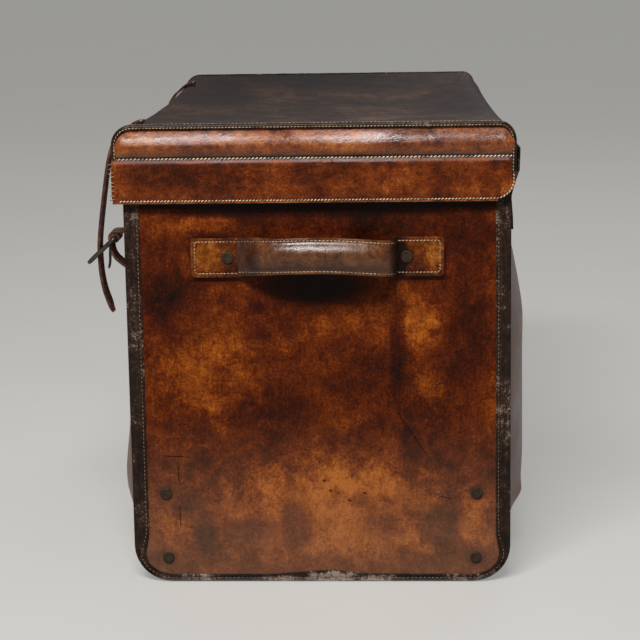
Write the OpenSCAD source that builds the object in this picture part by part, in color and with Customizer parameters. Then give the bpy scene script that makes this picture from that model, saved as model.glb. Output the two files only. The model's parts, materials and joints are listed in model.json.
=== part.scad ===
// Boot trunk of saddle leather: a deep box for riding boots, with a lid that hangs on a leather
// hinge, two straps with buckles at the front and a bowed leather handle on each end.
// Millimetres. X runs from the front (straps) to the back (hinge), Y from the right end to the
// left end as the front is faced, Z up. The origin is the middle of the base, on the floor.
// The right end lies at low Y, and everything on the left end is its mirror image.

/* [Body] */
// Length of the body over its end bindings
body_l = 594; // [520:1:700]
// Width over the front and back walls at the mouth
mouth_w = 387; // [350:1:430]
// Width over the front and back walls near the floor
base_w = 399; // [355:1:440]
// Height of the rim of the body
rim_z = 456; // [440:1:500]
// Radius of the two long lower corners
corner_r = 40; // [30:1:44]
// Thickness of the wall leather
wall_t = 4; // [3:0.1:5]
// Thickness of the binding leather
bind_t = 1.2; // [0.8:0.1:2]
// Width of the bindings on the edges of the ends
bind_w = 13; // [10:0.5:18]
// How far the front wall bellies out above its stiffened foot
front_belly = 32; // [0:1:36]
// How far the back wall bellies out
back_belly = 29; // [0:1:34]
// Height where the walls start to belly, just above the corner angles
belly_z = 56; // [54:1:90]

/* [Lid] */
// Height of the lid's top above the rim
lid_rise = 26; // [20:1:36]
// How far the lid's skirt hangs below the rim
skirt_drop = 47; // [30:1:56]
// Clearance between the lid's skirt and the front and back walls
lid_gap = 3.5; // [3:0.1:6]
// Clearance between the lid's skirt and the ends of the body
lid_end_gap = 4; // [3:0.1:7]
// Thickness of the lid leather
lid_t = 4; // [3:0.1:5]
// Radius of the lid's long upper edges
lid_r = 20; // [12:1:26]
// Radius of the skirt's lower corner beside the hinge
skirt_back_r = 21; // [18:1:34]
// Thickness of the bands that stiffen the skirt
band_t = 2.2; // [1.5:0.1:3]
// How far the long edges of the lid sag at mid-length
edge_sag = 6; // [0:0.5:8]
// How far the middle of the lid sags below its ends
middle_sag = 12; // [0:0.5:13]
// How far the upper half of the lid's end pieces swells
end_swell = 3; // [0:0.5:5]

/* [Hinge] */
// Height of the hinge line above the lower edge of the skirt
hinge_rise = 25; // [18:1:27]
// Thickness of the hinge leather
hinge_t = 2.2; // [1.5:0.1:3]
// How far the hinge leather reaches down the back wall
hinge_drop = 62; // [40:1:90]
// How far the hinge leather reaches up the lid's back
hinge_flap_h = 22; // [14:1:25]

/* [Handles] */
// Height of the middle of the handle tabs
handle_z = 352.5; // [300:0.5:370]
// Distance over the outer ends of a handle's two tabs
handle_span = 255; // [225:1:290]
// Length of one tab
tab_l = 55; // [48:1:60]
// Height of the tabs
tab_h = 40.5; // [36:0.5:48]
// Thickness of the tab leather
tab_t = 4; // [3:0.1:5]
// Distance between the two rivets of a handle
handle_rivet_span = 180; // [176:1:200]
// Length of the bowed grip
grip_l = 164; // [140:1:168]
// Height of the grip
grip_h = 36.5; // [30:0.5:40]
// Thickness of the grip at its middle
grip_t = 16; // [12:0.5:20]
// Room for the fingers between the tabs' face and the grip
finger_gap = 20; // [18:0.5:32]
// How far the middle of the grip rides above its ends
grip_arch = 7; // [0:0.5:10]

/* [Straps] */
// Distance of each strap from the middle of the trunk
strap_y = 230; // [150:1:240]
// Width of the straps
strap_w = 20; // [16:0.5:22]
// Thickness of the straps
strap_t = 2.8; // [2:0.1:3]
// Diameter of the buckle holes in the straps
strap_hole_d = 4.5; // [3:0.5:6]

/* [Buckles] */
// Diameter of the rod that the buckle frame is bent from
rod_d = 4.6; // [3.6:0.1:5]
// Length of the buckle frame from bar to bar
frame_l = 38; // [38:0.5:42]
// Width between the middles of the frame's side bars
frame_w = 30; // [28:0.5:36]
// How far the buckle frame droops below level
frame_droop = 42; // [40:0.5:42]
// Thickness of the buckle's tongue
tongue_t = 3.4; // [2.6:0.1:3.6]
// Width of the leather chape that holds the buckle
chape_w = 22; // [18:0.5:22]
// Thickness of the chape leather
chape_t = 2.6; // [2:0.1:3]

/* [Rivets and angles] */
// Diameter of the rivet heads
rivet_d = 11; // [8:0.5:13]
// Diameter of the rivet shanks
shank_d = 4; // [3:0.1:5]
// Distance of the corner rivets from the sides of the end
corner_rivet_in = 36.5; // [31:0.5:44]
// Height of the lower corner rivets
low_rivet_z = 27; // [25:0.5:34]
// Height of the upper corner rivets
high_rivet_z = 99; // [70:0.5:104]
// Thickness of the steel corner angles
angle_t = 1.6; // [1:0.1:3]
// Height of the corner angles' end plates above the floor
angle_top = 110; // [106:1:120]
// Reach of a corner angle along the front or back wall
angle_reach = 62; // [50:1:80]

/* [Inside] */
// Thickness of the lining cloth
lining_t = 1.2; // [0.8:0.1:2]
// Thickness of the wooden base board
board_t = 8; // [6:0.5:12]
// Thickness of the dividers
divider_t = 8; // [6:0.5:12]
// Height of the top edge of the dividers
divider_z = 426; // [300:1:430]
// Distance of each divider from the middle of the trunk
divider_y = 96; // [70:1:120]
// Side of the battens that hold the dividers' feet
batten_s = 12; // [8:0.5:16]

/* [Hidden] */

// Seam between pieces that lie against each other on a bellied wall
seat = 0.3;
// Radial clearance of a pin that turns, and of a rivet in its hole
pin_gap = 0.1;
rivet_gap = 0.05;
// How far a cutting shape runs past the face that it cuts
over = 1;
// Steps of a quarter round
arc_n = 6;
$fn = 48;

half_l = body_l / 2;
// The walls stay flat under the end bindings, and a little way past them
flat_margin = 2;
flat_half = half_l - bind_w - flat_margin;
skirt_z = rim_z - skirt_drop;
lid_top = rim_z + lid_rise;
lid_half_w = mouth_w / 2 + lid_gap + lid_t;
lid_half_l = half_l + lid_end_gap + lid_t;
hinge_z = skirt_z + hinge_rise;
hinge_x = lid_half_w + hinge_t;
// The bellies end just under the skirt
belly_top = skirt_z - 4;
lining_in = wall_t + pin_gap;
inner_in = lining_in + lining_t;
panel_y = half_l - bind_t;
inside_y = panel_y - wall_t - lining_t;
floor_top = wall_t + bind_t + board_t + lining_t;
// Height of the binding on the rim, and of the band round the lid's ends
mouth_h = 12;
band_h = 45;
// Width of the welt on the lid's ends
welt_w = 6;

// Half the width of the body over its leather at height z
function half_w(z) = (base_w + (mouth_w - base_w) * z / rim_z) / 2;
// How a belly fades towards the ends, and down its height as shares of the free wall
function along(y) = abs(y) < flat_half ? 1 - pow(abs(y) / flat_half, 4) : 0;
function free_share(z) = (z - belly_z) / (belly_top - belly_z);
front_form = [[0, 0], [0.05, 0.9], [0.1, 1], [0.3, 0.68], [0.5, 0.52], [0.8, 0.4], [0.94, 0.2], [1, 0]];
back_form = [[0, 0], [0.05, 0.9], [0.1, 1], [0.6, 1], [0.8, 0.55], [0.92, 0.2], [1, 0]];
function belly(side, y, z) = along(y)
    * (side < 0 ? front_belly * lookup(free_share(z), front_form)
                : back_belly * lookup(free_share(z), back_form));

// A station down a wall: how it runs (0 upright, 1 round the corner, 2 under the base) and where
belly_stations = [for (s = [1, 0.92, 0.8, 0.65, 0.5, 0.3, 0.2, 0.1, 0.05, 0])
    [0, belly_z + s * (belly_top - belly_z)]];
corner_stations = [for (i = [0:arc_n]) [1, 90 * i / arc_n]];
function wall_stations(top, foot) = concat([[0, top]], belly_stations, corner_stations, [[2, foot]]);
function wall_point(side, station, y, depth) =
    let (kind = station[0], v = station[1], centre = half_w(corner_r) - corner_r,
         r = corner_r - bind_t - depth)
    kind == 0 ? [side * (half_w(v) - bind_t - depth + belly(side, y, v)), y, v]
    : kind == 1 ? [side * (centre + r * cos(v)), y, corner_r - r * sin(v)]
    : [side * (centre - v), y, bind_t + depth];
// Stations along the trunk, closer together near the ends, and the flat stretches beyond them
y_n = 6;
y_bias = 0.35;
function y_stations(reach) = concat([-reach],
    [for (i = [-y_n:y_n]) let (u = i / y_n) u * (1 + y_bias - y_bias * u * u) * flat_half], [reach]);

// A closed sheet between two grids of points, one for each face
module sheet(front, back, flip = false) {
    rows = len(front);
    cols = len(front[0]);
    total = rows * cols;
    function at(i, j) = i * cols + j;
    faces = concat(
        [for (i = [0:rows - 2], j = [0:cols - 2], k = [0, 1]) k == 0
            ? [at(i, j), at(i, j + 1), at(i + 1, j + 1)]
            : [at(i, j), at(i + 1, j + 1), at(i + 1, j)]],
        [for (i = [0:rows - 2], j = [0:cols - 2], k = [0, 1]) k == 0
            ? [total + at(i, j), total + at(i + 1, j + 1), total + at(i, j + 1)]
            : [total + at(i, j), total + at(i + 1, j), total + at(i + 1, j + 1)]],
        [for (e = [0, rows - 1], j = [0:cols - 2], k = [0, 1])
            let (a = at(e, j), b = at(e, j + 1), f = e == 0)
            k == 0 ? (f ? [a, total + a, total + b] : [a, total + b, total + a])
                   : (f ? [a, total + b, b] : [a, b, total + b])],
        [for (e = [0, cols - 1], i = [0:rows - 2], k = [0, 1])
            let (a = at(i, e), b = at(i + 1, e), f = e == 0)
            k == 0 ? (f ? [a, total + b, total + a] : [a, total + a, total + b])
                   : (f ? [a, b, total + b] : [a, total + b, b])]);
    turned = flip ? [for (f = faces) [f[2], f[1], f[0]]] : faces;
    polyhedron(points = concat([for (r = front, p = r) p], [for (r = back, p = r) p]), faces = turned);
}

// A sheet that follows a wall, between two depths under its outer face
module wall_sheet(side, stations, ys, outer, inner) {
    sheet([for (s = stations) [for (y = ys) wall_point(side, s, y, outer)]],
          [for (s = stations) [for (y = ys) wall_point(side, s, y, inner)]],
          flip = side < 0);
}

// A flat shape drawn in X and Z, run along Y from y0 for a length
module along_y(y0, length) {
    translate([0, y0 + length, 0]) rotate([90, 0, 0]) linear_extrude(length) children();
}

// The left-hand copy of a piece on the right end
module left() {
    mirror([0, 1, 0]) children();
}

// Outline of the body seen from an end, a depth inside its bindings
function outline(inset, top) =
    let (centre = half_w(corner_r) - corner_r, r = corner_r - inset)
    concat([[-half_w(top) + inset, top]],
        [for (i = [0:arc_n]) let (a = 180 + 90 * i / arc_n) [-centre + r * cos(a), corner_r + r * sin(a)]],
        [for (i = [0:arc_n]) let (a = 270 + 90 * i / arc_n) [centre + r * cos(a), corner_r + r * sin(a)]],
        [[half_w(top) - inset, top]]);

// Rivet with its head on the face at Z 0, its shank downwards and a burr at the far end
burr_t = 1;
module rivet(grip) {
    head_h = rivet_d / 6;
    burr_d = 0.8 * rivet_d;
    rotate_extrude() polygon(concat([[0, 0], [rivet_d / 2, 0]],
        [for (a = [15:15:75]) [rivet_d / 2 * cos(a), head_h * sin(a)]], [[0, head_h]]));
    translate([0, 0, -grip]) cylinder(d = shank_d, h = grip);
    translate([0, 0, -grip - burr_t]) cylinder(d = burr_d, h = burr_t);
}
// Hole for a rivet through layers of this thickness
module rivet_hole(layers) {
    translate([0, 0, -layers - over]) cylinder(d = shank_d + 2 * rivet_gap, h = layers + 2 * over);
}

// Body

module front_wall() color("saddlebrown") body_wall(-1);
module back_wall() color("saddlebrown") body_wall(1);
module body_wall(side) {
    reach = panel_y - wall_t;
    difference() {
        wall_sheet(side, wall_stations(rim_z, seam_in), y_stations(reach), 0, wall_t);
        wall_rivets(side) rivet_hole(wall_t);
    }
}
// The walls turn under the base and stop at a seam
seam_in = 16;

module bottom_panel() color("saddlebrown") {
    half = half_w(corner_r) - corner_r - seam_in;
    translate([-half, -panel_y + wall_t, bind_t])
        cube([2 * half, 2 * (panel_y - wall_t), wall_t]);
    translate([-half, -half_l + bind_w, 0]) cube([2 * half, 2 * (half_l - bind_w), bind_t]);
}

module end_panel() difference() {
    along_y(-panel_y, wall_t) polygon(outline(bind_t, rim_z));
    corner_rivet_places() rivet_hole(wall_t);
    handle_rivet_places(0) rivet_hole(wall_t);
}
module right_end_panel() color("sienna") end_panel();
module left_end_panel() color("sienna") left() end_panel();

// Binding of an end: a flat rim on the face and a fold back over the walls
module end_binding() {
    top = rim_z - mouth_h;
    along_y(-half_l, bind_t) difference() {
        polygon(outline(0, top));
        polygon(outline(bind_w, top + over));
    }
    along_y(-half_l, bind_w) difference() {
        polygon(outline(0, top));
        polygon(outline(bind_t, top + over));
    }
}
module right_end_binding() color("#3a1d10") end_binding();
module left_end_binding() color("#3a1d10") left() end_binding();

// Binding folded over the rim of the body, with the slope of the walls
module mouth_binding() color("#3a1d10") {
    foot = rim_z - mouth_h;
    depth = bind_t + inner_in;
    difference() {
        mouth_block(0, foot, rim_z + bind_t);
        mouth_block(bind_t, foot - over, rim_z);
        mouth_block(depth, foot - over, rim_z + bind_t + over);
    }
}
// The space between the walls, drawn in all round, from one height to another
module mouth_block(inset, foot, top) {
    along_y(-half_l + inset, 2 * (half_l - inset))
        polygon([[-half_w(foot) + inset, foot], [half_w(foot) - inset, foot],
                 [half_w(top) - inset, top], [-half_w(top) + inset, top]]);
}

module base_board() color("burlywood") {
    half = half_w(corner_r) - corner_r;
    translate([-half, -inside_y, wall_t + bind_t]) cube([2 * half, 2 * inside_y, board_t]);
}

// Linings

module wall_lining(side) {
    difference() {
        wall_sheet(side, wall_stations(rim_z, 0), y_stations(inside_y), lining_in, inner_in);
        wall_rivets(side) rivet_hole(inner_in);
    }
}
module front_lining() color("wheat") wall_lining(-1);
module back_lining() color("wheat") wall_lining(1);

module end_lining() difference() {
    along_y(-panel_y + wall_t, lining_t) intersection() {
        polygon(outline(bind_t + inner_in, rim_z));
        translate([-base_w, wall_t + bind_t + board_t]) square([2 * base_w, rim_z]);
    }
    corner_rivet_places() rivet_hole(wall_t + lining_t);
    handle_rivet_places(0) rivet_hole(wall_t + lining_t);
}
module right_lining() color("wheat") end_lining();
module left_lining() color("wheat") left() end_lining();

module floor_lining() color("wheat") {
    half = half_w(corner_r) - corner_r;
    translate([-half, -inside_y, wall_t + bind_t + board_t]) cube([2 * half, 2 * inside_y, lining_t]);
}

// Dividers: boards that part the trunk into three boot compartments

divider_half = half_w(rim_z) - bind_t - inner_in - seat;
// Height where a divider's slanted lower corners end
divider_knee = corner_r + 20;
module divider() {
    foot = half_w(corner_r) - corner_r;
    along_y(-divider_y - divider_t / 2, divider_t)
        polygon([[-foot, floor_top], [foot, floor_top], [divider_half, divider_knee],
                 [divider_half, divider_z], [-divider_half, divider_z], [-divider_half, divider_knee]]);
}
module right_divider() color("darkolivegreen") divider();
module left_divider() color("darkolivegreen") left() divider();

// Leather strip folded over the top edge of each divider
edging_drop = 14;
module divider_edging() {
    face = -divider_y - divider_t / 2;
    difference() {
        translate([-divider_half, face - bind_t, divider_z - edging_drop])
            cube([2 * divider_half, divider_t + 2 * bind_t, edging_drop + bind_t]);
        translate([-divider_half - over, face, divider_z - edging_drop - over])
            cube([2 * (divider_half + over), divider_t, edging_drop + over]);
    }
}
module divider_edgings() color("#3a1d10") {
    divider_edging();
    left() divider_edging();
}

// Battens on the floor, one along each side of each divider
module floor_battens() color("burlywood")
    for (side = [-1, 1], face = [0, 1]) {
        foot = half_w(corner_r) - corner_r - batten_s;
        y0 = side * divider_y + (face == 0 ? -divider_t / 2 - batten_s : divider_t / 2);
        translate([-foot, y0, floor_top]) cube([2 * foot, batten_s, batten_s]);
    }

// Corner angles: bent steel plates inside the four lower corners

angle_in = bind_t + inner_in;
// Width of an angle's plate on the end
angle_plate = 48;
// Height of an angle's curved plate, which ends where the walls start to belly
angle_foot_top = belly_z - 2;
module corner_angle() {
    y0 = -panel_y + wall_t + lining_t;
    x0 = half_w(angle_top) - angle_in - angle_plate;
    along_y(y0, angle_t) intersection() {
        polygon(outline(angle_in, angle_top));
        translate([x0, floor_top]) square([base_w, angle_top - floor_top]);
    }
    along_y(y0 + angle_t, angle_reach) intersection() {
        difference() {
            polygon(outline(angle_in, angle_foot_top));
            polygon(outline(angle_in + angle_t, belly_z));
        }
        translate([0, floor_top]) square([base_w, angle_foot_top - floor_top]);
    }
}
module corner_angles() color("dimgray") difference() {
    for (sx = [0, 1], sy = [0, 1])
        mirror([sx, 0, 0]) mirror([0, sy, 0]) corner_angle();
    corner_rivet_places() rivet_hole(wall_t + lining_t + angle_t);
    left() corner_rivet_places() rivet_hole(wall_t + lining_t + angle_t);
    for (side = [-1, 1])
        wall_rivets(side) rivet_hole(inner_in + angle_t);
}

// Places of the corner rivets on the right end, and on a long wall, facing outwards
corner_rivet_x = base_w / 2 - corner_rivet_in;
module corner_rivet_places()
    for (x = [-corner_rivet_x, corner_rivet_x], z = [low_rivet_z, high_rivet_z])
        translate([x, -panel_y, z]) rotate([90, 0, 0]) children();
wall_rivet_y = panel_y - angle_reach + 4;
wall_rivet_zs = [corner_r + 8];
module wall_rivets(side)
    for (end = [-1, 1], z = wall_rivet_zs)
        translate([side * (half_w(z) - bind_t + pin_gap), end * wall_rivet_y, z])
            rotate([0, side * 90, 0]) children();
module corner_rivets() color("#5a4a35") {
    for (end = [0, 1])
        mirror([0, end, 0]) corner_rivet_places() rivet(wall_t + lining_t + angle_t);
    for (side = [-1, 1])
        wall_rivets(side) rivet(inner_in + angle_t + 2 * pin_gap);
}

// Handles

module handle_rivet_places(lift)
    for (side = [-1, 1])
        translate([side * handle_rivet_span / 2, -panel_y - lift, handle_z])
            rotate([90, 0, 0]) children();

module handle_tabs() difference() {
    for (side = [0, 1])
        mirror([side, 0, 0])
            translate([handle_span / 2 - tab_l, -panel_y - tab_t, handle_z - tab_h / 2])
                cube([tab_l, tab_t, tab_h]);
    handle_rivet_places(tab_t) rivet_hole(tab_t);
}
module right_handle_tabs() color("sienna") handle_tabs();
module left_handle_tabs() color("sienna") left() handle_tabs();

module handle_rivets() handle_rivet_places(tab_t) rivet(tab_t + wall_t + lining_t);
module right_handle_rivets() color("#5a4a35") handle_rivets();
module left_handle_rivets() color("#5a4a35") left() handle_rivets();

// The grip's middle line bows out from the tabs like a flat-topped arch
grip_n = 9;
// Thickness of the grip's leather, half its thickness at the sewn edges, and the room round its core
grip_skin = 2.8;
grip_edge = 1.7;
core_gap = 0.4;
// Shares of the grip's length that are hollow, and that the core fills
hollow_reach = 0.9;
core_reach = 0.85;
// Least half thickness of the hollow and of the core
core_least = 0.4;
grip_sides = 16;
function grip_turn(u) = 90 * (1 + u);
function grip_mid(u) =
    let (a = grip_turn(u), c = cos(a), s = sin(a))
    [-sign(c) * pow(abs(c), 0.62) * (grip_l / 2 - grip_edge),
     seat + (finger_gap + grip_t / 2 - seat) * pow(s, 0.75),
     grip_arch * (1 - c * c)];
function grip_dir(u) =
    let (du = 0.01, d = grip_mid(min(u + du, 1)) - grip_mid(max(u - du, -1)), n = norm([d[0], d[1]]))
    [d[0] / n, d[1] / n];
function grip_half_t(u) = grip_edge + (grip_t / 2 - grip_edge) * pow(sin(grip_turn(u)), 0.8);
// A section of the grip: lens-shaped, thick in the middle and thin at the two sewn edges
function grip_ring(u, skin, reach) =
    let (m = grip_mid(u * reach), d = grip_dir(u * reach), t = grip_half_t(u * reach))
    [for (k = [0:grip_sides - 1])
        let (a = 360 * k / grip_sides, s = sin(a),
             w = max(grip_edge + (t - grip_edge) * pow(abs(s), 1.3) - skin, core_least),
             side = k % (grip_sides / 2) == 0 ? 0 : sign(s) * w)
        [m[0] - d[1] * side, -panel_y - tab_t - (m[1] + d[0] * side),
         handle_z + m[2] + (grip_h / 2 - 2 * skin) * cos(a)]];
module tube(rings) {
    n = len(rings[0]);
    last = (len(rings) - 1) * n;
    polyhedron(points = [for (r = rings, p = r) p], faces = concat(
        [for (i = [0:len(rings) - 2], k = [0:n - 1], h = [0, 1])
            let (a = i * n + k, b = i * n + (k + 1) % n)
            h == 0 ? [a, b + n, b] : [a, a + n, b + n]],
        [for (k = [1:n - 2]) [0, k, k + 1]],
        [for (k = [1:n - 2]) [last, last + k + 1, last + k]]));
}
module grip_solid(skin, reach) {
    tube([for (i = [-grip_n:grip_n]) grip_ring(i / grip_n, skin, reach)]);
}
module handle_grip() difference() {
    grip_solid(0, 1);
    grip_solid(grip_skin, hollow_reach);
}
module right_handle_grip() color("saddlebrown") handle_grip();
module left_handle_grip() color("saddlebrown") left() handle_grip();
module right_handle_core() color("tan") grip_solid(grip_skin + core_gap, core_reach);
module left_handle_core() color("tan") left() grip_solid(grip_skin + core_gap, core_reach);

// Hinge

// The strip is sewn on the back wall, then leans out to meet the lid at the hinge line
hinge_inset = 6;
hinge_half_l = half_l - hinge_inset;
lean_z = belly_top;
lean_top = hinge_z - 2 * pin_gap;
function lean(z) = pow(max(0, (z - lean_z) / (lean_top - lean_z)), 1.3);
// The strip steps up over the end bindings
function step(y) = abs(y) > flat_half + flat_margin / 2 ? bind_t + pin_gap : seat;
function hinge_point(z, y, lift) =
    let (on_wall = wall_point(1, [0, z], y, -step(y) - lift), at_line = hinge_x - seat - hinge_t + lift)
    [on_wall[0] + (at_line - on_wall[0]) * lean(z), y, z];
hinge_edge = half_l - bind_w - seat;
hinge_ys = concat([-hinge_half_l, -hinge_edge], [for (y = y_stations(0)) if (y != 0) y],
    [hinge_edge, hinge_half_l]);
hinge_foot = hinge_z - hinge_drop;
hinge_zs = concat([lean_top, (lean_top + lean_z) / 2], [for (s = belly_stations) if (s[1] > hinge_foot) s[1]],
    [hinge_foot]);
module hinge_leather() color("#3a1d10")
    sheet([for (z = hinge_zs) [for (y = hinge_ys) hinge_point(z, y, hinge_t)]],
          [for (z = hinge_zs) [for (y = hinge_ys) hinge_point(z, y, 0)]]);
module lid_hinge_flap() color("#3a1d10")
    translate([lid_half_w, -hinge_half_l, hinge_z + pin_gap])
        cube([hinge_t, 2 * hinge_half_l, hinge_flap_h]);

// Lid

// The sag of the lid's top, deepest in the middle and none over the end pieces
sag_half = lid_half_l - lid_t - over;
function sag_share(y) = 1 - pow(min(1, abs(y) / sag_half), 2);
function lid_sag(x, y) =
    let (s = sag_share(y), c = 1 - pow(min(1, abs(x) / (lid_half_w - lid_r)), 2))
    s * (edge_sag + (middle_sag - edge_sag) * c);
// A station across the lid: 0 upright at the front, 1 round the front edge, 2 on top, 3 and 4 back
// The skirt hangs straight up to stiff_h, and takes up the sag above it
stiff_h = 24;
lid_fronts = [for (h = [0, stiff_h, 40]) [0, skirt_z + h]];
lid_arcs = [for (i = [0:arc_n - 1]) 90 * i / arc_n];
flat_n = 4;
lid_flats = [for (i = [-flat_n:flat_n]) [2, i / flat_n]];
lid_path = concat(lid_fronts, [for (a = lid_arcs) [1, a]], lid_flats,
    [for (i = [arc_n - 1:-1:0]) [3, lid_arcs[i]]], [[4, hinge_z + 2]]);
// How much of the sag an upright point takes
function skirt_share(z) =
    max(0, min(1, (z - skirt_z - stiff_h) / (lid_top - lid_r - skirt_z - stiff_h)));
function lid_point(station, y, depth) =
    let (kind = station[0], v = station[1], flat = lid_half_w - lid_r, r = lid_r - depth)
    kind == 0 ? [-lid_half_w + depth, y, v - edge_sag * sag_share(y) * skirt_share(v)]
    : kind == 1 ? [-flat - r * cos(v), y, lid_top - lid_r + r * sin(v) - lid_sag(flat, y)]
    : kind == 2 ? [v * flat, y, lid_top - depth - lid_sag(v * flat, y)]
    : kind == 3 ? [flat + r * cos(v), y, lid_top - lid_r + r * sin(v) - lid_sag(flat, y)]
    : [lid_half_w - depth, y, v];
module lid_sheet(stations, ys, outer, inner) {
    sheet([for (s = stations) [for (y = ys) lid_point(s, y, outer)]],
          [for (s = stations) [for (y = ys) lid_point(s, y, inner)]]);
}
sag_ys = [for (i = [-y_n:y_n]) i / y_n * sag_half];
lid_ys = concat([-lid_half_l], sag_ys, [lid_half_l]);
module lid_wrap() color("saddlebrown") lid_sheet(lid_path, lid_ys, 0, lid_t);

module lid_lining() color("wheat")
    lid_sheet(lid_flats, sag_ys, lid_t + pin_gap, lid_t + pin_gap + lining_t);

// Outline of the lid seen from an end
function lid_outline(inset) =
    let (x = lid_half_w - inset, flat = lid_half_w - lid_r, r = lid_r - inset, s = skirt_back_r - inset)
    concat([[-x, skirt_z]],
        [for (i = [0:arc_n]) let (a = 180 - 90 * i / arc_n)
            [-flat + r * cos(a), lid_top - lid_r + r * sin(a)]],
        [for (i = [0:arc_n]) let (a = 90 - 90 * i / arc_n)
            [flat + r * cos(a), lid_top - lid_r + r * sin(a)]],
        [for (i = [0:arc_n]) let (a = -90 * i / arc_n)
            [lid_half_w - skirt_back_r + s * cos(a), skirt_z + skirt_back_r + skirt_back_r * sin(a)]]);

// End piece of the lid: flat inside, its upper half swelling outwards over the seam below it
module lid_end() {
    swell_n = 8;
    z0 = skirt_z + band_h;
    z1 = lid_top - welt_w;
    profile = concat([[over, z1], [over, z0]],
        [for (i = [0:swell_n]) [-end_swell * sin(180 * i / swell_n), z0 + (z1 - z0) * i / swell_n]]);
    along_y(-lid_half_l, lid_t) polygon(lid_outline(lid_t));
    intersection() {
        translate([-base_w, -lid_half_l, 0]) rotate([90, 0, 90]) linear_extrude(2 * base_w)
            polygon(profile);
        along_y(-lid_half_l - 2 * end_swell - over, 4 * end_swell + 2 * over)
            polygon(lid_outline(welt_w + pin_gap));
    }
}
module lid_right_end() color("saddlebrown") lid_end();
module lid_left_end() color("saddlebrown") left() lid_end();

// Band sewn round the lower half of the lid's end, and along the front of its skirt
module lid_end_band() along_y(-lid_half_l - band_t, band_t) intersection() {
    polygon(lid_outline(0));
    translate([-base_w, skirt_z]) square([2 * base_w, band_h]);
}
module lid_right_band() color("sienna") lid_end_band();
module lid_left_band() color("sienna") left() lid_end_band();
front_band_h = 40;
module lid_front_band() color("sienna")
    translate([-lid_half_w - band_t, -lid_half_l - band_t, skirt_z])
        cube([band_t, 2 * (lid_half_l + band_t), front_band_h]);

// Welt over the seam between the lid's wrap and its end piece
module lid_welt() along_y(-lid_half_l - band_t, band_t) difference() {
    polygon(lid_outline(0));
    polygon(concat([[-lid_half_w + welt_w, skirt_z - over]], lid_outline(welt_w)));
    translate([-base_w, skirt_z - over]) square([2 * base_w, band_h + over]);
}
module lid_right_welt() color("#3a1d10") lid_welt();
module lid_left_welt() color("#3a1d10") left() lid_welt();

// Straps

// The sewn end of each strap lies over the lid's front edge
root_stations = concat([for (i = [arc_n / 2:arc_n - 1]) [1, lid_arcs[i]]], [[2, -1], [2, -0.9]]);
module strap_root()
    lid_sheet(root_stations, [for (i = [-1, 0, 1]) -strap_y + i * strap_w / 2], -seat - strap_t, -seat);
module strap_roots() color("#4a2412") {
    strap_root();
    left() strap_root();
}
// Where the free strap leaves the sewn end, on the strap's middle line
root_r = lid_r + seat + strap_t / 2;
root_drop = edge_sag * sag_share(strap_y);
root_x = -(lid_half_w - lid_r) - root_r * cos(45);
root_z = lid_top - lid_r + root_r * sin(45) - root_drop;

// The free strap's middle line, from its root down through the buckle, out from the root and down
strap_line = [[0.4, 0.6], [10, 8.5], [17, 18], [20.5, 29], [23.5, 43], [26.8, 62], [30.3, 83],
    [33.4, 103], [35.4, 120], [35.8, 136], [35.2, 152], [32.6, 169], [27, 187], [24, 193.5]];
function line_dir(path, i) =
    let (d = path[min(i + 1, len(path) - 1)] - path[max(i - 1, 0)]) d / norm(d);
function thick_path(path, t) = concat(
    [for (i = [0:len(path) - 1]) let (d = line_dir(path, i)) path[i] + [d[1], -d[0]] * t / 2],
    [for (i = [len(path) - 1:-1:0]) let (d = line_dir(path, i)) path[i] - [d[1], -d[0]] * t / 2]);
strap_path = [for (p = strap_line) [root_x - p[0], root_z - p[1]]];
strap_reach = max([for (p = strap_line) p[0]]) + strap_w;
strap_drop = max([for (p = strap_line) p[1]]);
// Half width of the strap's cut end, and the place and distance of its holes below the root
point_half = strap_w / 5;
first_hole = 100;
hole_pitch = 22;
module strap_tail() difference() {
    intersection() {
        along_y(-strap_y - strap_w / 2, strap_w) polygon(thick_path(strap_path, strap_t));
        translate([root_x + strap_t * 2, -strap_y, root_z - strap_drop]) rotate([0, -90, 0])
            linear_extrude(strap_reach) polygon([[-over, -point_half], [-over, point_half],
                [strap_w / 2, strap_w / 2], [strap_drop + over, strap_w / 2],
                [strap_drop + over, -strap_w / 2], [strap_w / 2, -strap_w / 2]]);
    }
    for (k = [0:3])
        translate([root_x, -strap_y, root_z - first_hole - k * hole_pitch]) rotate([0, -90, 0])
            cylinder(d = strap_hole_d, h = strap_reach);
}
module right_strap_tail() color("#4a2412") strap_tail();
module left_strap_tail() color("#4a2412") left() strap_tail();

// Buckles

// The heel bar is held off the front wall by the folded chape
bar_off = 15;
bar_drop = 46.5;
bar_z = skirt_z - bar_drop;
bar_x = -(half_w(bar_z) - bind_t + belly(-1, strap_y, bar_z)) - bar_off;
module on_bar() {
    translate([bar_x, -strap_y, bar_z]) children();
}
// The frame is a flat bow with rounded corners, closed by a round heel bar
frame_t = 4;
module buckle_frame() on_bar() rotate([0, -frame_droop, 0]) {
    w = (frame_w + rod_d) / 2;
    translate([0, 0, -frame_t / 2]) linear_extrude(frame_t) difference() {
        union() {
            for (y = [-1, 1]) {
                translate([0, y * frame_w / 2]) circle(d = rod_d + 1);
                translate([-frame_l, y * frame_w / 2]) circle(d = rod_d);
            }
            translate([-frame_l, -w]) square([frame_l, 2 * w]);
            translate([-frame_l - rod_d / 2, -frame_w / 2]) square([rod_d, frame_w]);
        }
        translate([-frame_l + rod_d / 2, -w + rod_d]) square([frame_l + rod_d, 2 * (w - rod_d)]);
    }
    translate([0, w - rod_d / 2, 0]) rotate([90, 0, 0]) cylinder(d = rod_d, h = 2 * w - rod_d);
}
module right_buckle_frame() color("#3c3a38") buckle_frame();
module left_buckle_frame() color("#3c3a38") left() buckle_frame();

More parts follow.
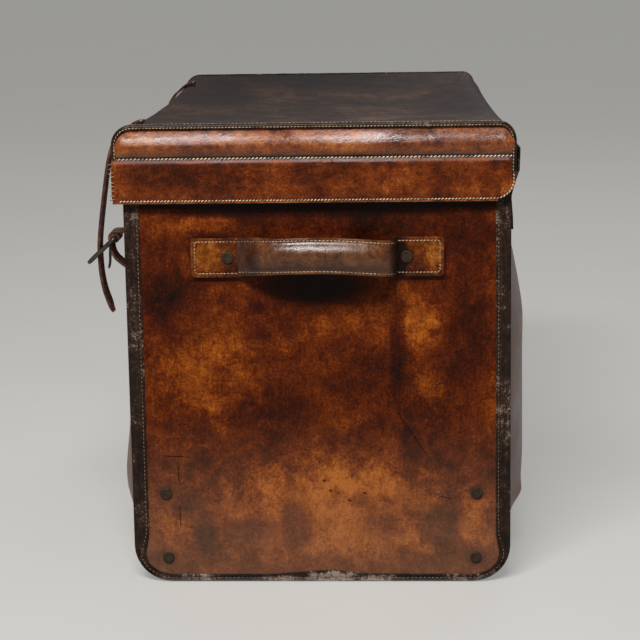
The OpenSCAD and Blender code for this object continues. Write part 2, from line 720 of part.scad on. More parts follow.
// The tongue: a loop round the heel bar and a bent point that hangs from it
tongue_eye = 1.8;
tongue_line = [[3.2, -3], [6.8, -10], [7.8, -18], [8.2, -27], [10, -35]];
module buckle_tongue() on_bar() difference() {
    along_y(-tongue_t / 2, tongue_t) union() {
        circle(d = rod_d + 2 * pin_gap + 2 * tongue_eye);
        polygon(thick_path([for (p = tongue_line) [-p[0], p[1]]], tongue_t));
    }
    translate([0, tongue_t, 0]) rotate([90, 0, 0]) cylinder(d = rod_d + 2 * pin_gap, h = 2 * tongue_t);
}
module right_buckle_tongue() color("#3c3a38") buckle_tongue();
module left_buckle_tongue() color("#3c3a38") left() buckle_tongue();

// The chape: leather folded round the heel bar, slotted for the tongue and sewn on the wall
chape_drop = 34;
chape_rise = 14;
// The fold's lower ply hangs from the bar and comes back to the wall
ply_line = [[-4, -5], [-4.6, -12], [-3, -18], [3, -25], [bar_off - 4, -31]];
// Height of the tongue's slot below the bar
slot_drop = 14;
module chape() {
    fold_r = rod_d / 2 + pin_gap + 2 * chape_t;
    slot_w = tongue_t + 2;
    wall_sheet(-1, [for (z = [bar_z + chape_rise, bar_z, bar_z - chape_drop / 2, bar_z - chape_drop]) [0, z]],
        [for (i = [-1, 0, 1]) -strap_y + i * chape_w / 2], -seat - pin_gap - chape_t, -seat - pin_gap);
    on_bar() difference() {
        along_y(-chape_w / 2, chape_w) union() {
            circle(r = fold_r);
            translate([0, -fold_r + over]) square([bar_off - seat - chape_t / 2, 2 * fold_r - 4]);
            polygon(thick_path(ply_line, chape_t));
        }
        rotate([90, 0, 0]) translate([0, 0, -chape_w])
            cylinder(d = rod_d + 2 * pin_gap, h = 2 * chape_w);
        translate([-bar_off - 5, -slot_w / 2, -slot_drop]) cube([2 * bar_off - 3, slot_w, 3 * slot_drop]);
    }
}
module right_chape() color("#5a2c14") chape();
module left_chape() color("#5a2c14") left() chape();

front_wall();
back_wall();
bottom_panel();
right_end_panel();
left_end_panel();
right_end_binding();
left_end_binding();
mouth_binding();
base_board();
front_lining();
back_lining();
right_lining();
left_lining();
floor_lining();
right_divider();
left_divider();
divider_edgings();
floor_battens();
corner_angles();
corner_rivets();
right_handle_grip();
right_handle_core();
right_handle_tabs();
right_handle_rivets();
left_handle_grip();
left_handle_core();
left_handle_tabs();
left_handle_rivets();
hinge_leather();
right_chape();
left_chape();
right_buckle_frame();
left_buckle_frame();
right_buckle_tongue();
left_buckle_tongue();
lid_wrap();
lid_right_end();
lid_left_end();
lid_right_band();
lid_left_band();
lid_front_band();
lid_right_welt();
lid_left_welt();
lid_hinge_flap();
lid_lining();
strap_roots();
right_strap_tail();
left_strap_tail();
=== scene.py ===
"""An old leather boot trunk with a skirted lid, two straps and a bowed handle on each end."""
import json
import math

import bmesh
import bpy
from mathutils import Matrix, Quaternion, Vector, noise


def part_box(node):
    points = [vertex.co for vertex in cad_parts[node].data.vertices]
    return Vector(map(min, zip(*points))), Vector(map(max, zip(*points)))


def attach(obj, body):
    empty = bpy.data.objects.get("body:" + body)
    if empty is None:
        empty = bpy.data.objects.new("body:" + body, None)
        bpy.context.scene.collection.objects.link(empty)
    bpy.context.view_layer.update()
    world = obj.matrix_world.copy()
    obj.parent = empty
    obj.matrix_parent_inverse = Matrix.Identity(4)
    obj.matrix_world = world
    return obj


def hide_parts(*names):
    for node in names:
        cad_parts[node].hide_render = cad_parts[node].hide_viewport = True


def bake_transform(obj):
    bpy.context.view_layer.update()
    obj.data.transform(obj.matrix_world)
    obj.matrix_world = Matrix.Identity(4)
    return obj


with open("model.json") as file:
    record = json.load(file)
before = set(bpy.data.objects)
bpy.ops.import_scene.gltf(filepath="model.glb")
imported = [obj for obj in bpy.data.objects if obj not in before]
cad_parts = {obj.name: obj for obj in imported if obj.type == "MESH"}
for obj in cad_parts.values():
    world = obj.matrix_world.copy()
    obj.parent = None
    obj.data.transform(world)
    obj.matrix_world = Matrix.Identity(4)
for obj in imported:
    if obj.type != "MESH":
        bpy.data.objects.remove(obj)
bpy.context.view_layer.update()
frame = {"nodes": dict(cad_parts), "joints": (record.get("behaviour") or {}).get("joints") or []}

# The camera looks at the trunk's right end from a little above, through a long lens.
pitch, yaw, roll = (math.radians(angle) for angle in (14.03, -2.14, -0.89))
camera = bpy.data.objects.new("camera", bpy.data.cameras.new("camera"))
camera.data.sensor_width = 36
camera.data.lens = 82.97
camera.location = (0.0563, -1.7519, 0.6506)
aim = Vector((math.sin(yaw) * math.cos(pitch), math.cos(yaw) * math.cos(pitch), -math.sin(pitch)))
camera.rotation_mode = "QUATERNION"
camera.rotation_quaternion = aim.to_track_quat("-Z", "Y") @ Quaternion((0, 0, 1), roll)
bpy.context.scene.collection.objects.link(camera)
bpy.context.scene.camera = camera
bpy.context.scene.view_settings.view_transform = "Standard"


# A pale matt floor with a faint cloudiness.
def srgb(red, green, blue):
    """A colour written as it looks, from 0 to 255, in the linear numbers that shaders take."""
    shares = [c / 255 for c in (red, green, blue)]
    return tuple(c / 12.92 if c < 0.04 else ((c + 0.055) / 1.055) ** 2.4 for c in shares) + (1,)


class Socket:
    """An output of a material's node, with sums and products that add Math nodes."""

    def __init__(self, tree, output):
        self.tree = tree
        self.output = output

    def node(self, kind, inputs=None, result=0, stops=(), **settings):
        """Another node of the same material: its settings, then its colour stops and inputs."""
        made = self.tree.nodes.new("ShaderNode" + kind)
        for name, value in settings.items():
            setattr(made, name, value)
        for place, colour in stops:
            made.color_ramp.elements.new(place).color = colour
        for end in (0, -1) if stops else ():
            made.color_ramp.elements.remove(made.color_ramp.elements[end])
        for name, value in (inputs or {}).items():
            if isinstance(value, Socket):
                self.tree.links.new(value.output, made.inputs[name])
            else:
                made.inputs[name].default_value = value
        return Socket(self.tree, made.outputs[result])

    def math(self, operation, *others):
        return self.node("Math", dict(enumerate((self,) + others)), operation=operation)

    def __add__(self, other):
        return self.math("ADD", other)

    def __sub__(self, other):
        return self.math("SUBTRACT", other)

    def __mul__(self, other):
        return self.math("MULTIPLY", other)

    def __rsub__(self, other):
        return self * -1 + other

    __radd__ = __add__
    __rmul__ = __mul__

    def step(self, low, high):
        """0 where this is under low and 1 over high, with a soft edge between them."""
        return self.node("MapRange", {"Value": self, "From Min": low, "From Max": high},
                         interpolation_type="SMOOTHSTEP")

    def over(self, under, colour):
        """The colour under, painted over with a colour where this mask is 1."""
        return self.node("Mix", {0: self, 6: under, 7: colour}, result=2, data_type="RGBA")

    def clouds(self, size, detail=4, rough=0.6, twist=0, stretch=(1, 1, 1)):
        """Noise with features of this size in millimetres, longer where stretch is above 1."""
        scaled = self.node("Mapping", {"Vector": self, "Scale": [1 / s for s in stretch]})
        return scaled.node("TexNoise", {"Vector": scaled, "Scale": 1000 / size, "Detail": detail,
                                        "Roughness": rough, "Distortion": twist})

    def near(self, centre, reach, core=0.25, turn=0):
        """1 at a point, fading to 0 at a reach along each axis, both in millimetres."""
        moved = self.node("Mapping", {"Vector": self, "Location": [c / 1000 for c in centre],
                                      "Rotation": (0, turn, 0),
                                      "Scale": [r / 1000 for r in reach]}, vector_type="TEXTURE")
        return 1 - moved.node("VectorMath", {0: moved}, result=1, operation="LENGTH").step(core, 1)


def new_material(name):
    """A material, its shader and its object coordinates."""
    material = bpy.data.materials.new(name)
    material.use_nodes = True
    tree = material.node_tree
    at = Socket(tree, tree.nodes.new("ShaderNodeTexCoord").outputs["Object"])
    return material, tree.nodes["Principled BSDF"], at


def finish_shader(shader, colour, roughness, height, depth, **fixed):
    """Links what changes over a surface, and sets the other numbers on the shader itself. The
    height counts in steps of a depth in millimetres."""
    bump = height.node("Bump", {"Height": height, "Distance": depth / 1000, "Strength": 1.0})
    for name, value in (("Base Color", colour), ("Roughness", roughness), ("Normal", bump)):
        height.tree.links.new(value.output, shader.inputs[name])
    for name, value in fixed.items():
        shader.inputs[name.replace("_", " ").title().replace("Ior", "IOR")].default_value = value


floor_mesh = bmesh.new()
bmesh.ops.create_grid(floor_mesh, x_segments=8, y_segments=8, size=40)
bmesh.ops.translate(floor_mesh, verts=floor_mesh.verts, vec=(0, 0, -0.0004))
floor = bpy.data.objects.new("floor", bpy.data.meshes.new("floor"))
floor_mesh.to_mesh(floor.data)
bpy.context.scene.collection.objects.link(floor)
floor_paint, shader, at = new_material("floor_paint")


def seen(tree, reflected=1.0):
    """1 where the camera looks, and 0 for the light that falls on the trunk."""
    rays = tree.nodes.new("ShaderNodeLightPath")
    return (Socket(tree, rays.outputs["Is Camera Ray"])
            + Socket(tree, rays.outputs["Is Glossy Ray"]) * reflected)


cloudy = at.clouds(400, detail=3)
finish_shader(shader, cloudy.over(srgb(146, 144, 140), srgb(156, 154, 150)), cloudy * 0.1 + 0.75,
              at.clouds(3), 0.05, specular_ior_level=0.1, emission_strength=1.0)
pale = seen(floor_paint.node_tree).over(srgb(0, 0, 0), srgb(144, 143, 140))
floor_paint.node_tree.links.new(pale.output, shader.inputs["Emission Color"])
floor.data.materials.append(floor_paint)

# Plain soft light: a pale surround, a long soft lamp high in front and a weaker one behind.
surround = bpy.data.worlds.new("surround")
surround.use_nodes = True
background = surround.node_tree.nodes["Background"]
background.inputs["Color"].default_value = (0.94, 0.97, 1, 1)
surround.node_tree.links.new((seen(surround.node_tree, 0.1) * 0.26 + 0.13).output,
                             background.inputs["Strength"])
bpy.context.scene.world = surround
for lamp_name, lamp_place, lamp_aim, lamp_size, lamp_power in (
        ("key_lamp", (-0.35, -1.75, 2.2), (0, -0.3, 0.3), (1.5, 0.4), 82),
        ("back_lamp", (0.8, 1.9, 2.6), (0, 0, 0.4), (1.4, 1.4), 14)):
    lamp = bpy.data.objects.new(lamp_name, bpy.data.lights.new(lamp_name, "AREA"))
    lamp.data.shape = "RECTANGLE"
    lamp.data.size, lamp.data.size_y = lamp_size
    lamp.data.energy = lamp_power
    lamp.location = lamp_place
    lamp.rotation_euler = (Vector(lamp_aim) - lamp.location).to_track_quat("-Z", "Y").to_euler()
    bpy.context.scene.collection.objects.link(lamp)


# End panels: one thick piece of saddle leather closes each end, polished for a century, with
# darker clouds, old scratches, and dents round the rivets. The right one is the photographed end.
MM = 0.001


def edges_mm(node):
    """Lowest and highest corner of a part of the frame, in millimetres."""
    return [Vector(corner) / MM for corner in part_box(node)]


def spread(first, last, count):
    """Evenly spaced numbers from first to last, in count steps."""
    return [first + (last - first) * i / count for i in range(count + 1)]


def ramp(value, low, high):
    """A smooth rise from 0 at low to 1 at high."""
    t = max(0, min(1, (value - low) / (high - low)))
    return t * t * (3 - 2 * t)


def waves(x, y, z, size):
    """Smooth random waves between -1 and 1 with this size in millimetres."""
    return noise.noise(Vector((x, y, z)) / size)


def sheet(columns, rows, place):
    """A skin of faces: the point at shares u and v of its two sides lies where place says."""
    bm = bmesh.new()
    bmesh.ops.create_grid(bm, x_segments=columns, y_segments=rows, size=1)
    for vert in bm.verts:
        vert.co = place((vert.co.x + 1) / 2, (vert.co.y + 1) / 2)
    return bm


def thicken(bm, thickness, rounding=0.5, steps=2):
    """Gives a skin its thickness behind its face, and rounds the edges of the cut leather."""
    bm.normal_update()
    bmesh.ops.solidify(bm, geom=bm.faces[:], thickness=thickness)
    bm.normal_update()
    sharp = [e for e in bm.edges if e.is_manifold and e.calc_face_angle() > 0.9]
    if rounding:
        bmesh.ops.bevel(bm, geom=sharp, offset=rounding, segments=steps, profile=0.5,
                        affect="EDGES", material=-1, clamp_overlap=True)
    return bm


def mirrored(bm):
    """A copy for the other end of the trunk."""
    other = bm.copy()
    bmesh.ops.scale(other, vec=(1, -1, 1), verts=other.verts)
    bmesh.ops.reverse_faces(other, faces=other.faces)
    return other


def join(bm, *others):
    """Adds other shapes to this one."""
    for other in others:
        part = bpy.data.meshes.new("part")
        other.to_mesh(part)
        bm.from_mesh(part)
    return bm


def make_piece(name, bm, material, body, slot, replaces=()):
    """Writes a finished piece in metres, gives it its finish and lets it ride on its body.
    A piece that bends between two bodies has None here."""
    bmesh.ops.scale(bm, vec=(MM, MM, MM), verts=bm.verts)
    mesh = bpy.data.meshes.new(name)
    bm.to_mesh(mesh)
    bm.free()
    mesh.materials.append(material)
    mesh.shade_smooth()
    mesh.set_sharp_from_angle(angle=math.radians(50))
    piece = bpy.data.objects.new(name, mesh)
    bpy.context.scene.collection.objects.link(piece)
    if body:
        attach(piece, body)
    if replaces:
        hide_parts(*replaces)
    return piece


def both_ends(name, bm, material, body, slot, *nodes):
    """A piece of the right end and its mirror image on the left end."""
    make_piece("left_" + name, mirrored(bm), material, body.replace("right", "left"), slot,
               [n.replace("right", "left") for n in nodes])
    make_piece("right_" + name, bm, material, body, slot, nodes)


def leather(name, shades, cloud=90, run=(1, 1, 5), shine=0.34, gloss=0.35, contrast=1.0, lumps=0.3,
            middle_tone=0.5, stains_and_shade=(), cuts=(), polish=(), low_paling=0.0, reach_y=40):
    """Old polished leather: five shades from dark to pale in clouds, blots and fibres that run
    one way, over a pebbled grain. A stain, or a painted shadow given the same way, is x, y, z, its
    reach in x and z, and how much paler it is, or darker below 0. A cut is x, y, z, its half
    length, half width and turn. A polish is like a stain, and makes the place smoother. The lowest
    200 mm turn paler and greyer by a share."""
    material, shader, at = new_material(name)
    shades = [srgb(*shade) for shade in shades]
    big = at.clouds(cloud, detail=3, rough=0.55, twist=0.5)
    middle = at.clouds(cloud / 5, detail=7, rough=0.72, twist=0.4)
    small = at.clouds(cloud / 28, detail=4, rough=0.8)
    fibres = at.clouds(2.6, detail=3, stretch=run)
    grit = at.clouds(1.9, detail=2, rough=0.7)
    blots = at.clouds(17, detail=6, rough=0.75, twist=0.8).step(0.57, 0.68)
    tone = ((big - 0.5) * 0.9 + (middle - 0.5) * 1.2 + (small - 0.5) * 0.8 + (fibres - 0.5) * 0.3
            + (grit - 0.5) * 0.6 - blots * 0.06) * contrast + middle_tone
    ragged = (middle - 0.5) * 2.4 + (small - 0.5) * 0.8
    # Stains and painted shadows alike make the tone paler or darker round a point.
    for x, y, z, reach_x, reach_z, amount in stains_and_shade:
        spot = at.near((x, y, z), (reach_x, reach_y, reach_z), core=0)
        tone = tone + (spot * 1.3 + spot * ragged).step(0.05, 1) * amount
    colour = tone.node("ValToRGB", {"Fac": tone},
                       stops=list(zip((0.08, 0.32, 0.52, 0.72, 0.95), shades)))
    # The lowest 200 mm turn paler and greyer.
    if low_paling:
        low = 1 - at.node("SeparateXYZ", {0: at}, result=2).step(0.01, 0.2)
        colour = (low * (middle + small * 0.6) * low_paling).over(colour, srgb(158, 118, 92))
    marks = at.clouds(7, detail=3, rough=0.5, stretch=(1, 1, 9)).step(0.66, 0.72) * 0.15
    specks = 1 - at.node("TexVoronoi", {"Vector": at, "Scale": 1000 / 11}).step(0.06, 0.1)
    scored = marks + specks * 0.6
    for x, y, z, long, wide, turn in cuts:
        scored = scored + at.near((x, y, z), (long, reach_y, wide), core=0.4, turn=turn) * 0.85
    colour = scored.over(colour, shades[0])
    pebbles = at.node("TexVoronoi", {"Vector": at, "Scale": 1000 / 1.3}, feature="SMOOTH_F1")
    height = (pebbles * 0.06 + at.clouds(8, detail=3) * lumps
              + at.clouds(3, detail=4) * lumps * 0.4 - scored * 0.35)
    rough = (big - 0.5) * 0.4 + (middle - 0.5) * 0.25 + (small - 0.5) * 0.2 + shine
    for x, y, z, reach_x, reach_z, amount in polish:
        rough = rough - at.near((x, y, z), (reach_x, reach_y, reach_z)) * amount
    finish_shader(shader, colour, rough, height, 1, specular_ior_level=gloss)
    return material


def marks(y, *spots):
    """Marks on a face at one y; each gives its x, its z and its sizes."""
    return [(x, y, z, *sizes) for x, z, *sizes in spots]


saddle_shades = ((22, 8, 3), (60, 18, 3), (92, 35, 5), (132, 63, 12), (176, 98, 32))
binding_low, binding_high = edges_mm("right_end_binding")
mouth_low, mouth_high = edges_mm("mouth_binding")
panel_low, panel_high = edges_mm("right_end_panel")
rim_z = edges_mm("front_lining")[1].z
half_l = -binding_low.y
panel_face = panel_low.y
wall_t = panel_high.y - panel_low.y
binding_t = panel_low.y - binding_low.y
binding_w = binding_high.y - binding_low.y
corner_r = 40
corner_x = binding_high.x - corner_r


def half_w(z):
    """Half the width of the trunk's body at a height; it narrows a little towards the mouth."""
    share = (z - corner_r) / (mouth_low.z - corner_r)
    return binding_high.x + (mouth_high.x - binding_high.x) * share


corner_share = 0.16


def end_point(u, v, inset, foot):
    """A point on an end inside an inset of its outline, from its foot to the rim. The lower
    corners take a share of the rows for themselves."""
    if v < corner_share:
        turn = math.acos((corner_r - foot) / (corner_r - inset))
        angle = turn + (math.pi / 2 - turn) * v / corner_share
        z = corner_r - (corner_r - inset) * math.cos(angle)
        reach = corner_x + (corner_r - inset) * math.sin(angle)
    else:
        z = corner_r + (rim_z - corner_r) * (v - corner_share) / (1 - corner_share)
        reach = half_w(z) - inset
    return (2 * u - 1) * reach, z


corner_rivets = [(x, z) for x in (-163, 163) for z in (27, 99)]
handle_z = 352.5


def panel_out(x, z):
    """How far the old panel stands out of its true plane, in millimetres, flat at its bindings."""
    clear = min(half_w(z) - abs(x) - 18, z - 14, rim_z - z)
    wave = (waves(x, 260, z, 88) * 1.2 + waves(x, 600, z, 30) * 0.25) * ramp(clear, 0, 34)
    for rivet_x, rivet_z in corner_rivets:
        wave -= 0.45 * math.exp(-((x - rivet_x) ** 2 + (z - rivet_z) ** 2) / 90)
    beside_tab = max(abs(abs(x) - 98) - 30, abs(z - handle_z) - 22, 0)
    return wave * ramp(beside_tab, 0, 18)


def panel_point(u, v):
    x, z = end_point(u, v, binding_t, binding_t)
    return Vector((x, panel_face - panel_out(x, z), z))


# Among these marks, the dark bands at z 407 and 397 are painted shadow under the lid's skirt, the
# darkening at x -104 and 104 is painted shade round the handle tabs, and the band at z 322 is
# painted shadow under the grip.
panel_marks = marks(
    -296, (0, 407, 400, 10, -0.7), (0, 397, 220, 8, -0.2),
    (-112, 386, 54, 14, 0.26), (-158, 330, 40, 80, -0.16), (-150, 300, 60, 60, -0.14),
    (-104, 348, 42, 36, -0.3), (104, 350, 40, 34, -0.3),
    (-133, 345, 12, 26, 0.2), (20, 386, 120, 18, -0.12), (0, 372, 240, 60, -0.1),
    (0, 322, 90, 28, -0.4), (-62, 300, 16, 12, -0.18), (-110, 225, 80, 70, 0.2),
    (107, 284, 36, 44, 0.22), (116, 216, 26, 28, 0.18), (81, 258, 14, 80, -0.24),
    (152, 262, 34, 130, -0.1), (-45, 196, 80, 60, -0.12), (28, 240, 76, 60, -0.12),
    (94, 146, 18, 64, -0.18), (-50, 110, 22, 54, 0.14), (30, 120, 90, 40, 0.12),
    (0, 80, 260, 90, 0.24), (160, 66, 30, 50, 0.2), (-153, 50, 34, 44, 0.2),
    (-122, 54, 20, 42, -0.26), (-74, 58, 42, 22, -0.24), (-26, 62, 28, 46, -0.2),
    (124, 62, 34, 38, -0.24), (60, 64, 32, 24, -0.14), (-140, 84, 26, 24, -0.12),
    (40, 92, 18, 14, -0.14), (-8, 122, 18, 14, -0.14), (-185, 160, 20, 60, -0.1),
    (-163, 27, 17, 17, -0.3), (-163, 99, 14, 14, -0.3), (163, 27, 16, 16, -0.3),
    (163, 99, 14, 14, -0.3))
panel_cuts = marks(
    -296, (-152, 140, 17, 1.1, 0.05), (-149, 120, 16, 0.8, 1.55), (-149, 72, 15, 0.8, 1.55),
    (86, 178, 20, 0.8, 1.15), (100, 158, 30, 0.9, 1.0), (130, 94, 9, 0.8, 0.15),
    (4, 113, 2.6, 2.2, 0), (10, 102, 2.4, 1.6, 0.4), (46, 99, 2.4, 1.5, 0), (30, 91, 3, 1.5, 0.3),
    (-90, 312, 3, 1, 0.3), (52, 220, 6, 0.7, 0.7), (-30, 268, 8, 0.7, 0.2))
panel_leather = leather("panel_leather", saddle_shades, gloss=0.1, shine=0.42, contrast=0.8,
                        lumps=0.16, middle_tone=0.46, stains_and_shade=panel_marks, cuts=panel_cuts,
                        low_paling=0.36)
both_ends("end_leather", thicken(sheet(112, 124, panel_point), wall_t, rounding=0), panel_leather,
          "trunk", "chestnut_leather", "right_end_panel")


# End bindings: a strip of dark leather is folded round the sides and the bottom of each end and
# sewn through. Its face has creases along it, and it is narrower under the panel.
def and_back(half):
    """An outline's stations up to its middle, and then the same down its other side. A station
    is a place and the way inwards from it."""
    return half + [(-x, z, -in_x, in_z) for x, z, in_x, in_z in half[-2::-1]]


def sweep(stations, section, loop=False):
    """A closed section carried along stations: section gives a station's ring of points."""
    rings = [section(station) for station in stations]
    if loop:
        rings.append(rings[0])
    around, along = len(rings[0]), len(rings) - 1
    bm = sheet(around, along, lambda u, v: rings[round(v * along)][round(u * around) % around])
    bmesh.ops.remove_doubles(bm, verts=bm.verts, dist=0.0001)
    if not loop:
        bmesh.ops.holes_fill(bm, edges=[e for e in bm.edges if e.is_boundary], sides=0)
    bmesh.ops.recalc_face_normals(bm, faces=bm.faces)
    return bm


thread_shape = bmesh.new()
bmesh.ops.create_uvsphere(thread_shape, u_segments=8, v_segments=4, radius=0.5)
one_stitch = bpy.data.meshes.new("one_stitch")
thread_shape.to_mesh(one_stitch)


def sew(bm, line, out, pitch=3.2, length=2.5, width=0.8, slant=0.3):
    """Adds a row of thread stitches along a line of points. The way out of the leather is a
    direction, or a function of the place."""
    due = pitch / 2
    for start, end in zip(line, line[1:]):
        run = end - start
        if run.length == 0:
            continue
        while due <= run.length:
            place = start + run * (due / run.length)
            normal = (out(place) if callable(out) else Vector(out)).normalized()
            along = Quaternion(normal, slant) @ run.normalized()
            turned = Matrix((along, normal.cross(along), normal)).transposed().to_4x4()
            size = Matrix.Diagonal((length, width, width * 0.8, 1))
            turned = Matrix.Translation(place) @ turned @ size
            one_stitch.transform(turned)
            bm.from_mesh(one_stitch)
            one_stitch.transform(turned.inverted())
            due += pitch
        due -= run.length
    return bm


def sewn(name, rows, out, material, body, slot, make=both_ends, **stitch):
    """Rows of stitches as a piece of their own."""
    bm = bmesh.new()
    for row in rows:
        sew(bm, row, out, **stitch)
    make(name, bm, material, body, slot)


def thread(name, colour):
    """Waxed linen thread, twisted and darker where dirt has settled."""
    material, shader, at = new_material(name)
    dirt = at.clouds(14, detail=4).step(0.42, 0.7)
    finish_shader(shader, dirt.over(srgb(*colour), srgb(*(c * 0.5 for c in colour))),
                  dirt * 0.2 + 0.5, at.clouds(0.7, stretch=(1, 1, 0.4)), 0.2,
                  specular_ior_level=0.3)
    return material


def binding_width(x, z):
    """The strip is narrow under the panel, where it has also lifted and worn near the middle."""
    side = binding_w + (3.2 if x < 0 else 2.4)
    foot = 8.4 + 4.6 * math.exp(-((x - 5) / 36) ** 2)
    return foot + (side - foot) * ramp(z, 12, 58)


def seam_inset(x, z):
    """How far its row of stitches lies from its outer edge."""
    side = binding_width(x, z) - 2.8
    return 4.3 + (side - 4.3) * ramp(z, 8, 58)


def binding_section(station):
    x, z, in_x, in_z = station
    w, s = binding_width(x, z) + 0.5 * waves(x, 0, z, 24), seam_inset(x, z)
    t = binding_t
    dents = 0.25 * waves(x, 40, z, 18)
    face = ((w, 0.5), (w - 0.5, 0.1), (s + 1.2, 0), (s + 0.5, 0.3), (s, 0.5), (s - 0.5, 0.3),
            (s - 1.2, -0.2), (s * 0.74, -0.35 + dents), (s * 0.6, 0.15), (s * 0.55, 0.55),
            (s * 0.5, 0.1), (s * 0.36, -0.3 - dents), (s * 0.22, 0.3), (s * 0.14, 0),
            (0.4, 0.4), (0.05, 1.1))
    fold = ((-0.1, 4), (0, 8), (0, binding_w - 1), (0.35, binding_w), (t, binding_w))
    return [Vector((x + in_x * d, -half_l + h, z + in_z * d))
            for d, h in face + fold + ((t, t + 0.05), (w, t + 0.05))]


dark_shades = ((12, 7, 5), (24, 14, 10), (36, 23, 17), (54, 37, 28), (150, 130, 116))
binding_wear = marks(
    -297, (6, 5, 40, 12, 0.5), (-44, 3, 40, 7, 0.3), (60, 3, 50, 7, 0.25),
    (-150, 4, 60, 10, 0.12), (150, 4, 60, 10, 0.12), (-199, 20, 20, 60, 0.1),
    (-203, 240, 6, 300, 0.12))
binding_leather = leather("binding_leather", dark_shades, cloud=40, run=(1, 1, 8), shine=0.4,
                          gloss=0.14, lumps=0.25, middle_tone=0.56, stains_and_shade=binding_wear)
ends = [(-half_w(z), z, 1, 0) for z in spread(binding_high.z, corner_r, 30)[:-1]]
ends += [(-corner_x - corner_r * math.cos(a), corner_r - corner_r * math.sin(a), math.cos(a),
          math.sin(a)) for a in spread(0, math.pi / 2, 9)]
ends = and_back(ends + [(x, 0, 0, 1) for x in spread(-corner_x, 0, 24)[1:]])
both_ends("end_strip", sweep(ends, binding_section), binding_leather, "trunk",
          "dark_binding_leather", "right_end_binding")
binding_thread = thread("binding_thread", (134, 104, 76))
binding_row = [Vector((x + in_x * seam_inset(x, z), -half_l + 0.1, z + in_z * seam_inset(x, z)))
               for x, z, in_x, in_z in ends]
end_out = (0, -1, 0)
sewn("end_stitches", [binding_row], end_out, binding_thread, "trunk", "dark_binding_leather",
     pitch=4.4, length=2.9, width=0.9, slant=0.1)


# Front and back wall: each is one skin that bulges over a fold near its foot, then turns under
# the base to a seam. The sides look polished where they bulge.
skirt_z = edges_mm("lid_wrap")[0].z
belly_z = 56
belly_top = skirt_z - 4
flat_half = half_l - binding_w - 2
seam_x = edges_mm("bottom_panel")[1].x
face_share, foot_share = 0.78, 0.94
bellies = {-1: (32, ((0, 0), (0.05, 0.9), (0.1, 1), (0.3, 0.68), (0.5, 0.52), (0.8, 0.4),
                     (0.94, 0.2), (1, 0))),
           1: (29, ((0, 0), (0.05, 0.9), (0.1, 1), (0.6, 1), (0.8, 0.55), (0.92, 0.2), (1, 0)))}


def lookup(value, pairs):
    """The second number of pairs, between the two whose first numbers lie round a value."""
    for (low, at_low), (high, at_high) in zip(pairs, pairs[1:]):
        if value <= high:
            share = max(0, (value - low) / (high - low))
            return at_low + (at_high - at_low) * share
    return pairs[-1][1]


def belly(side, y, z):
    """How far a long wall bulges at a place, softened over a few millimetres."""
    full, form = bellies[side]
    soft = max(0, min(10, (z - belly_z) * 0.45, (belly_top - z) * 0.6))
    share = sum(lookup((z + soft * k / 3 - belly_z) / (belly_top - belly_z), form)
                for k in range(-3, 4)) / 7
    return full * share * (1 - min(1, abs(y) / flat_half) ** 4)


def wall_point(side, y, v, depth, foot=seam_x):
    """A point down a wall from its rim at v 0, round its lower corner, to its foot at v 1."""
    if v < face_share:
        z = rim_z + (corner_r - rim_z) * v / face_share
        wave = waves(y, side * 300, z, 70) * 1.1 * ramp(belly_top - z, 0, 60) * ramp(z, 60, 120)
        wave *= 1 - ramp(abs(y), flat_half - 40, flat_half)
        if side > 0:
            wave += 5 * math.exp(-((z - 74) / 8) ** 2 - ((y + 222) / 26) ** 2)
        return Vector((side * (half_w(z) - binding_t - depth + belly(side, y, z) + wave), y, z))
    r = corner_r - binding_t - depth
    if v < foot_share:
        angle = (v - face_share) / (foot_share - face_share) * math.pi / 2
        return Vector((side * (corner_x + r * math.cos(angle)), y, corner_r - r * math.sin(angle)))
    x = corner_x + (foot - corner_x) * (v - foot_share) / (1 - foot_share)
    return Vector((side * x, y, binding_t + depth))


def wall_skin(side, reach, depth, foot):
    """The face of a long wall, or of its lining, outwards."""
    return sheet(84, 150, lambda u, v: wall_point(
        side, (1 - 2 * u) * reach * side, v, depth, foot))


wall_leather = leather("wall_leather", saddle_shades, cloud=110, shine=0.38, gloss=0.3)
wall_reach = edges_mm("front_wall")[1].y
for side, node in ((-1, "front_wall"), (1, "back_wall")):
    make_piece(node + "_leather", thicken(wall_skin(side, wall_reach, 0, seam_x), wall_t, 0),
               wall_leather, "trunk", "chestnut_leather", [node])

# Bottom panel, with a seam to each wall, and the wooden board inside on top of it.
bottom_high = edges_mm("bottom_panel")[1]


def bottom_point(u, v):
    x, y = (2 * u - 1) * bottom_high.x, (1 - 2 * v) * bottom_high.y
    inner = 1 - ramp(max(abs(x) - bottom_high.x + 12, abs(y) - 272), 0, 12)
    return Vector((x, y, binding_t * (1 - inner)))


make_piece("bottom_leather", thicken(sheet(40, 60, bottom_point), 4.9, 0.4), wall_leather, "trunk",
           "chestnut_leather", ["bottom_panel"])


def paint_nodes(material, *nodes):
    """Gives parts of the frame that show as they are their finish."""
    for node in nodes:
        part = frame["nodes"][node]
        part.data.materials.clear()
        part.data.materials.append(material)


pine, shader, at = new_material("pine")
rings = at.clouds(26, detail=4, twist=1.2, stretch=(12, 1, 1))
fibres = at.clouds(1.6, detail=3, stretch=(30, 1, 1))
finish_shader(shader, rings.step(0.35, 0.7).over(srgb(196, 152, 98), srgb(150, 104, 60)),
              fibres * 0.2 + 0.5, fibres + rings, 0.2)
paint_nodes(pine, "base_board", "floor_battens")


# Linings: fine linen is pasted inside the walls, the ends and the floor.
def woven(name, colour, first, second):
    """Plain weave with a thread every 0.7 mm along two of the axes."""
    material, shader, at = new_material(name)
    turns = 2 * math.pi / 0.0007
    warp, weft = ((at.node("SeparateXYZ", {0: at}, result=axis) * turns).math("SINE")
                  for axis in (first, second))
    stain = at.clouds(120, detail=4).step(0.45, 0.8)
    slub = at.clouds(2.5, detail=2)
    tint = (stain * 0.5 + slub * 0.4).over(srgb(*colour), srgb(*(c * 0.72 for c in colour)))
    finish_shader(shader, tint, stain * 0.1 + 0.8, warp * weft * 0.5 + slub, 0.08,
                  specular_ior_level=0.2)
    return material


